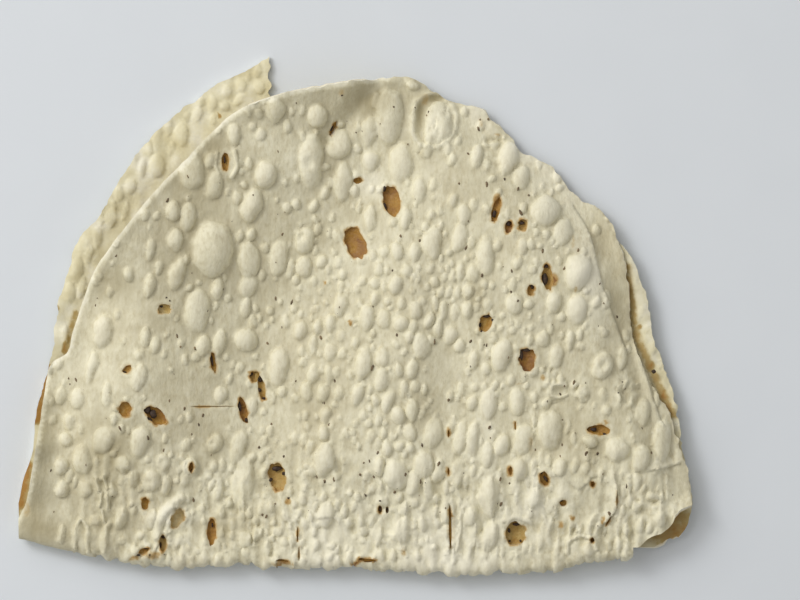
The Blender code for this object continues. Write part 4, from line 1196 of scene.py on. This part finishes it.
def make_floors(material):
    """Thin amber skins that close most burst blisters from below."""
    points, faces = [], []
    last_ring = 1 + (FLOOR_RINGS - 1) * FLOOR_SIDES
    size = 1 + FLOOR_RINGS * FLOOR_SIDES
    for spot, outline in zip(OPENINGS, OPENING_OUTLINES):
        middle, least = np.array(spot[:2]), min(spot[2:4])
        picks = np.linspace(0, len(outline), FLOOR_SIDES, endpoint=False).astype(int)
        edge = (outline[picks] - middle) * (1.0 + FLOOR_OVERLAP / max(least, NARROW))
        depth = NARROW_DEPTH if least < NARROW else FLOOR_DEPTH + FLOOR_DEPTH_SHARE * least
        shares = np.arange(1, FLOOR_RINGS + 1)[:, None, None] / FLOOR_RINGS
        plan = np.vstack([middle, (middle + edge * shares).reshape(-1, 2)])
        shares = np.append(0.0, np.repeat(shares.ravel(), FLOOR_SIDES))
        for drop in (0.0, FLOOR_THICKNESS):
            start = len(points)
            points.extend(np.column_stack([plan, depth * (1 - shares**2) + drop]))
            skin = fan_faces(start, start + 1, FLOOR_SIDES)
            for first in range(start + 1, start + last_ring, FLOOR_SIDES):
                skin += ring_faces(first, first + FLOOR_SIDES, FLOOR_SIDES)
            faces += [face[::-1] for face in skin] if drop else skin
        faces += ring_faces(start - size + last_ring, start + last_ring, FLOOR_SIDES)
    x, y, down = np.array(points).T
    z = upper_height(x, y) - FLOOR_DROP - down + waves(x, y, FLOOR_WAVES)
    floors = add_mesh("blister_floors", np.stack([x, y, z], axis=-1), faces, [material])
    add_mask(floors.data, "tone", np.repeat(FLOOR_TONES, 2 * size))
    return floors


def pebble(middle, half_sizes, turn, seed):
    """Points and faces of one small uneven lump."""
    sides, rings, points = LUMP_SIDES, LUMP_RINGS, []
    for tilt in (math.pi * ring / rings for ring in range(1, rings)):
        for angle in (2 * math.pi * k / sides for k in range(sides)):
            points.append((math.sin(tilt) * math.cos(angle), math.sin(tilt) * math.sin(angle),
                           math.cos(tilt)))
    points = np.array(points + [(0.0, 0.0, 1.0), (0.0, 0.0, -1.0)])
    last, top = (rings - 2) * sides, len(points) - 2
    faces = fan_faces(top, 0, sides) + [face[::-1] for face in fan_faces(top + 1, last, sides)]
    for first in range(0, last, sides):
        faces += ring_faces(first, first + sides, sides)
    uneven = 1.0 + LUMP_UNEVEN * np.random.RandomState(seed).uniform(-1.0, 1.0, len(points))
    x, y, z = (points * uneven[:, None] * half_sizes).T
    return np.stack([*turned(x, y, turn), z], axis=-1) + middle, faces


def make_lumps(name, lumps, material):
    """One mesh of many lumps, each given as middle, half sizes and turn."""
    points, faces = [], []
    for index, (middle, half_sizes, turn) in enumerate(lumps):
        start = len(points)
        lump_points, lump_faces = pebble(np.array(middle), np.array(half_sizes), turn, index)
        points.extend(lump_points)
        faces += [tuple(start + i for i in face) for face in lump_faces]
    return add_mesh(name, np.array(points), faces, [material])


def make_char_and_shade(material):
    """Burnt bits, sunk into the openings, where they partly stand in for shade at the back-left
    sides, or lying on the leaf.
    """
    spots = np.array(CHAR_AND_SHADE_FLAKES, dtype=float)
    x, y = spots[:, 0], spots[:, 1]
    sunk = np.any([inside(x, y, outline) for outline in OPENING_OUTLINES], axis=0)
    height = np.where(sunk, upper_height(x, y) + SUNK_CHAR_AND_SHADE, top_height(x, y) - RAISED_CHAR)
    half_heights = np.where(sunk, SUNK_CHAR_AND_SHADE_RISE, RAISED_CHAR_RISE)
    return make_lumps("char_and_shade_flakes", [
        ((spot[0], spot[1], z), (spot[2] * CHAR_SIZE, spot[3] * CHAR_SIZE, half_height),
         math.radians(spot[4])) for spot, z, half_height in zip(spots, height, half_heights)
    ], material)


def make_specks(material):
    """The specks that stand out, and smaller ones by a seeded draw."""
    generator = random.Random(SEED + 2)
    places = list(SPECKS)
    while len(places) < SPECK_COUNT:
        places.append((generator.uniform(*SPECK_X), generator.uniform(*SPECK_Y)))
    places = np.array(places, dtype=float)
    x, y = places[inside(*places.T, np.array(UPPER_EDGE + TEAR))].T
    lumps = []
    for index, middle in enumerate(zip(x, y, top_height(x, y))):
        size = generator.uniform(*(LARGE_SPECKS if index < len(SPECKS) else FINE_SPECKS))
        sizes = (0.75 * size, size * generator.uniform(*SPECK_LENGTHS), 0.4 * size)
        lumps.append((middle, sizes, generator.uniform(*SPECK_TURNS)))
    return make_lumps("pepper_specks", lumps, material)


class Nodes:
    """Short ways to build one material's node tree."""

    def __init__(self, name):
        self.material = bpy.data.materials.new(name)
        self.material.use_nodes = True
        self.tree = self.material.node_tree
        self.shader = self.tree.nodes["Principled BSDF"]
        self.place = self.new("ShaderNodeTexCoord").outputs["Object"]

    def new(self, kind, **values):
        """A node with some of its inputs set; an underscore stands for a space in a name."""
        node = self.tree.nodes.new(kind)
        for name, value in values.items():
            node.inputs[name.replace("_", " ")].default_value = value
        return node

    def link(self, source, target):
        self.tree.links.new(source, target)

    def noise(self, size, detail=3.0, roughness=0.55, length=1.0):
        """Noise whose patches are about size millimetres wide, and as many times longer in y."""
        mapping = self.new("ShaderNodeMapping", Scale=(1.0, 1.0 / length, 1.0))
        self.link(self.place, mapping.inputs["Vector"])
        node = self.new("ShaderNodeTexNoise", Scale=1.0 / (size * MM), Detail=detail,
                        Roughness=roughness)
        self.link(mapping.outputs["Vector"], node.inputs["Vector"])
        return node.outputs["Fac"]

    def ramp(self, source, *stops):
        """Colours at places from 0 to 1, with blends between them."""
        node = self.new("ShaderNodeValToRGB")
        ramp = node.color_ramp
        for element, (position, colour) in zip(ramp.elements, (stops[0], stops[-1])):
            element.position, element.color = position, (*colour, 1.0)
        for position, colour in stops[1:-1]:
            ramp.elements.new(position).color = (*colour, 1.0)
        self.link(source, node.inputs["Fac"])
        return node.outputs["Color"]

    def mix(self, amount, first, second):
        """The first colour where the amount is 0, and the second where it is 1."""
        node = self.new("ShaderNodeMix")
        node.data_type = "RGBA"
        self.link(amount, node.inputs["Factor"])
        for source, socket in ((first, node.inputs[6]), (second, node.inputs[7])):
            if isinstance(source, tuple):
                socket.default_value = (*source, 1.0)
            else:
                self.link(source, socket)
        return node.outputs[2]

    def spread(self, source, low, high, to_low=0.0, to_high=1.0):
        """A value moved from one range to another, and kept inside it."""
        node = self.new("ShaderNodeMapRange", From_Min=low, From_Max=high, To_Min=to_low,
                        To_Max=to_high)
        self.link(source, node.inputs["Value"])
        return node.outputs["Result"]

    def combine(self, operation, first, second):
        """Two values added, and kept between 0 and 1, or multiplied."""
        node = self.new("ShaderNodeMath")
        node.operation = operation
        node.use_clamp = operation == "ADD"
        self.link(first, node.inputs[0])
        self.link(second, node.inputs[1])
        return node.outputs[0]

    def mask(self, name):
        """A value stored with the points of the mesh."""
        node = self.new("ShaderNodeAttribute")
        node.attribute_name = name
        return node.outputs["Fac"]

    def broken_stain(self, size, share):
        """The stain mask with uneven strength, by a share of it either way."""
        uneven = self.spread(self.noise(size, 4.0), 0.25, 0.75, -share, share)
        stain = self.mask("stain")
        return self.combine("ADD", stain, self.combine("MULTIPLY", uneven, stain))

    def finish(self, colour, bump_height, bump_distance, rough_low, rough_high):
        """The material with its colour, uneven roughness and fine bumps joined up."""
        self.link(colour, self.shader.inputs["Base Color"])
        self.link(self.spread(self.noise(3.0), 0.3, 0.7, rough_low, rough_high),
                  self.shader.inputs["Roughness"])
        bump = self.new("ShaderNodeBump", Distance=bump_distance * MM, Strength=1.0)
        self.link(bump_height, bump.inputs["Height"])
        self.link(bump.outputs["Normal"], self.shader.inputs["Normal"])
        return self.material


CREAM_LIGHT = (0.86, 0.82, 0.625)
CREAM = (0.79, 0.745, 0.545)
CREAM_DEEP = (0.70, 0.64, 0.45)
GRAIN_DARK, GRAIN_LIGHT = (0.56, 0.49, 0.31), (0.92, 0.88, 0.70)
# Colours that the tone mask blends towards: toasting and painted shade darken, paleness and
# painted light lighten
TOASTED_AND_SHADED_CREAM = (0.455, 0.40, 0.245)
PALE_CREAM = (0.93, 0.895, 0.735)
TAN, BROWN = (0.60, 0.46, 0.23), (0.50, 0.30, 0.1)
AMBER = (0.52, 0.29, 0.07)
AMBER_DARK = (0.25, 0.11, 0.022)
BURNT, BURNT_BROWN, BURNT_LIGHT = (0.035, 0.018, 0.009), (0.05, 0.027, 0.014), (0.14, 0.07, 0.03)
INSIDE_DEEP, INSIDE_CREAM = (0.70, 0.63, 0.39), (0.80, 0.745, 0.515)
INSIDE_PALE = (0.90, 0.865, 0.70)
YELLOW_CREAM = (0.85, 0.79, 0.54)
OLIVE_STAIN_AND_SHADE, INSIDE_BROWN_AND_SHADE = (0.50, 0.375, 0.15), (0.42, 0.22, 0.045)
CRUMB, RIM_TAN = (0.9, 0.87, 0.74), (0.6, 0.42, 0.18)
FLOOR_AMBER, FLOOR_TAN, FLOOR_CREAM = (0.41, 0.215, 0.028), (0.52, 0.37, 0.12), (0.70, 0.62, 0.38)
PEPPER_DARK, PEPPER_LIGHT = (0.07, 0.045, 0.025), (0.27, 0.19, 0.1)
TABLE_DARK, TABLE_LIGHT = (0.755, 0.80, 0.855), (0.77, 0.815, 0.87)


def make_crust_material():
    nodes = Nodes("papadum_crust")
    patches = nodes.ramp(nodes.noise(16.0), (0.3, CREAM_DEEP), (0.5, CREAM), (0.7, CREAM_LIGHT))
    grain = nodes.ramp(nodes.noise(1.1, 4.0, 0.6, 1.9),
                       (0.3, GRAIN_DARK), (0.5, CREAM), (0.7, GRAIN_LIGHT))
    cream = nodes.mix(nodes.spread(nodes.noise(5.0), 0.3, 0.7, 0.3, 0.7), patches, grain)
    # The tone mask holds painted light and shade as well as toasting: below 0 towards the toasted
    # cream, above 0 towards the pale cream
    toasted_and_shaded = nodes.mix(nodes.spread(nodes.mask("tone"), 0.0, -1.0), cream, TOASTED_AND_SHADED_CREAM)
    pale = nodes.mix(nodes.spread(nodes.mask("tone"), 0.0, 1.0), toasted_and_shaded, PALE_CREAM)
    amount = nodes.broken_stain(1.1, 0.35)
    stained = nodes.ramp(amount, (0.0, CREAM), (0.45, TAN), (0.8, BROWN), (1.0, AMBER_DARK))
    colour = nodes.mix(nodes.spread(amount, 0.08, 0.6), pale, stained)
    return nodes.finish(colour, nodes.noise(0.8, 4.0, 0.6, 1.9), 0.2, 0.52, 0.72)


def make_inside_material():
    nodes = Nodes("papadum_inside")
    yellow = nodes.ramp(nodes.noise(7.0, 4.0),
                        (0.3, INSIDE_DEEP), (0.5, INSIDE_CREAM), (0.7, INSIDE_PALE))
    # Here the stain mask holds painted shade as well as real stains: both darken the yellow
    # towards olive and brown
    amount = nodes.broken_stain(2.2, 0.3)
    stained = nodes.ramp(amount, (0.2, YELLOW_CREAM), (0.55, OLIVE_STAIN_AND_SHADE), (0.9, INSIDE_BROWN_AND_SHADE))
    colour = nodes.mix(nodes.spread(amount, 0.1, 0.5), yellow, stained)
    return nodes.finish(colour, nodes.noise(0.8, 4.0, 0.6), 0.12, 0.5, 0.7)


def make_rim_material():
    nodes = Nodes("papadum_rim")
    crumb = nodes.ramp(nodes.noise(1.2, 4.0), (0.3, CREAM_LIGHT), (0.6, CRUMB))
    # On the rim the stain mask also carries the painted shade of the inner face
    stained = nodes.ramp(nodes.mask("stain"), (0.0, CREAM), (0.5, RIM_TAN), (1.0, AMBER))
    colour = nodes.mix(nodes.spread(nodes.mask("stain"), 0.1, 0.6), crumb, stained)
    return nodes.finish(colour, nodes.noise(0.5, 4.0), 0.25, 0.6, 0.8)


def make_floor_skin_material():
    nodes = Nodes("blister_amber")
    uneven = nodes.spread(nodes.noise(2.6, 4.0), 0.25, 0.75, -0.14, 0.14)
    amount = nodes.combine("ADD", nodes.mask("tone"), uneven)
    colour = nodes.ramp(amount, (0.08, BURNT), (0.3, AMBER_DARK), (0.5, FLOOR_AMBER),
                        (0.72, FLOOR_TAN), (0.95, FLOOR_CREAM))
    return nodes.finish(colour, nodes.noise(0.6, 4.0), 0.3, 0.4, 0.6)


def make_char_and_shade_material():
    nodes = Nodes("charred_dough_and_shade")
    colour = nodes.ramp(nodes.noise(1.0, 4.0),
                        (0.35, BURNT), (0.6, BURNT_BROWN), (0.8, BURNT_LIGHT))
    return nodes.finish(colour, nodes.noise(0.4, 4.0), 0.2, 0.5, 0.75)


def make_speck_material():
    nodes = Nodes("pepper")
    colour = nodes.ramp(nodes.noise(1.5, 2.0), (0.35, PEPPER_DARK), (0.65, PEPPER_LIGHT))
    return nodes.finish(colour, nodes.noise(0.3, 3.0), 0.1, 0.5, 0.7)


def make_stage_material():
    nodes = Nodes("pale_table")
    colour = nodes.ramp(nodes.noise(30.0, 2.0), (0.3, TABLE_DARK), (0.7, TABLE_LIGHT))
    return nodes.finish(colour, nodes.noise(1.0, 2.0), 0.01, 0.7, 0.8)


# Size of the surface, and how far it lies below the lowest point, both in metres
STAGE_SIZE = 4.0
STAGE_DROP = 0.0002


def make_stage():
    """The pale surface that the papadum lies on."""
    bpy.ops.mesh.primitive_plane_add(size=STAGE_SIZE, location=(0, 0, -STAGE_DROP))
    stage = bpy.context.active_object
    stage.name = "pale_table"
    stage.data.materials.append(make_stage_material())


# The photograph's frame: its size in pixels, the middle of the sheet in it, and its scale
PHOTO_WIDTH, PHOTO_HEIGHT = 800, 600
PHOTO_MIDDLE_X, PHOTO_MIDDLE_Y = 355.0, 317.0
MM_PER_PIXEL = 0.2815
CAMERA_DISTANCE = 1.6
SHEET_TOP = 11.0
SENSOR_WIDTH = 36.0


def make_camera():
    """A far camera straight above, so that heights shift nothing sideways."""
    data = bpy.data.cameras.new("camera")
    data.sensor_width = SENSOR_WIDTH
    data.lens = SENSOR_WIDTH * CAMERA_DISTANCE / (PHOTO_WIDTH * MM_PER_PIXEL * MM)
    camera = bpy.data.objects.new("camera", data)
    camera.location = ((PHOTO_WIDTH / 2 - PHOTO_MIDDLE_X) * MM_PER_PIXEL * MM,
                       (PHOTO_MIDDLE_Y - PHOTO_HEIGHT / 2) * MM_PER_PIXEL * MM,
                       CAMERA_DISTANCE + SHEET_TOP * MM)
    bpy.context.scene.collection.objects.link(camera)
    bpy.context.scene.camera = camera


# Two soft lights from the same side: name, size in metres and power
LIGHT_FROM = Vector((-0.95, 0.75, 1.0))
LIGHT_DISTANCE = 1.8
LIGHT_COLOUR = (1.0, 0.985, 0.96)
LIGHTS = (("broad", 2.2, 17.6), ("narrow", 0.65, 8.8))
SKY_COLOUR = (1.0, 0.975, 0.93)
SKY_STRENGTH = 0.4


def make_light():
    """The two lights, from the back left, and a faint warm sky."""
    direction = LIGHT_FROM.normalized()
    for name, size, power in LIGHTS:
        data = bpy.data.lights.new(name, "AREA")
        data.shape = "DISK"
        data.size = size
        data.energy = power
        data.color = LIGHT_COLOUR
        light = bpy.data.objects.new(name, data)
        light.location = direction * LIGHT_DISTANCE
        light.rotation_euler = direction.to_track_quat("Z", "Y").to_euler()
        bpy.context.scene.collection.objects.link(light)
    world = bpy.data.worlds.new("sky")
    world.use_nodes = True
    sky = world.node_tree.nodes["Background"].inputs
    sky["Color"].default_value = (*SKY_COLOUR, 1.0)
    sky["Strength"].default_value = SKY_STRENGTH
    bpy.context.scene.world = world
    bpy.context.scene.view_settings.view_transform = "Standard"


def centre_on_floor(sheet, others):
    """Put the sheet where the solid is: over the middle, its lowest point at height 0."""
    places = np.empty(len(sheet.data.vertices) * 3, dtype=np.float32)
    sheet.data.vertices.foreach_get("co", places)
    places = places.reshape(-1, 3)
    low, high = places.min(axis=0), places.max(axis=0)
    shift = Vector((-(low[0] + high[0]) / 2, -(low[1] + high[1]) / 2, -low[2]))
    for piece in [sheet] + others:
        piece.data.transform(Matrix.Translation(shift))
        piece.data.update()


def main():
    """Make the pieces, say what each belongs to, and set up the picture."""
    sheet = make_sheet([make_crust_material(), make_inside_material(), make_rim_material()])
    others = [make_floors(make_floor_skin_material()), make_char_and_shade(make_char_and_shade_material()),
              make_specks(make_speck_material())]
    centre_on_floor(sheet, others)
    for piece in [sheet] + others:
        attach(piece, "root")
    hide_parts("papadum")
    make_stage()
    make_camera()
    make_light()


main()
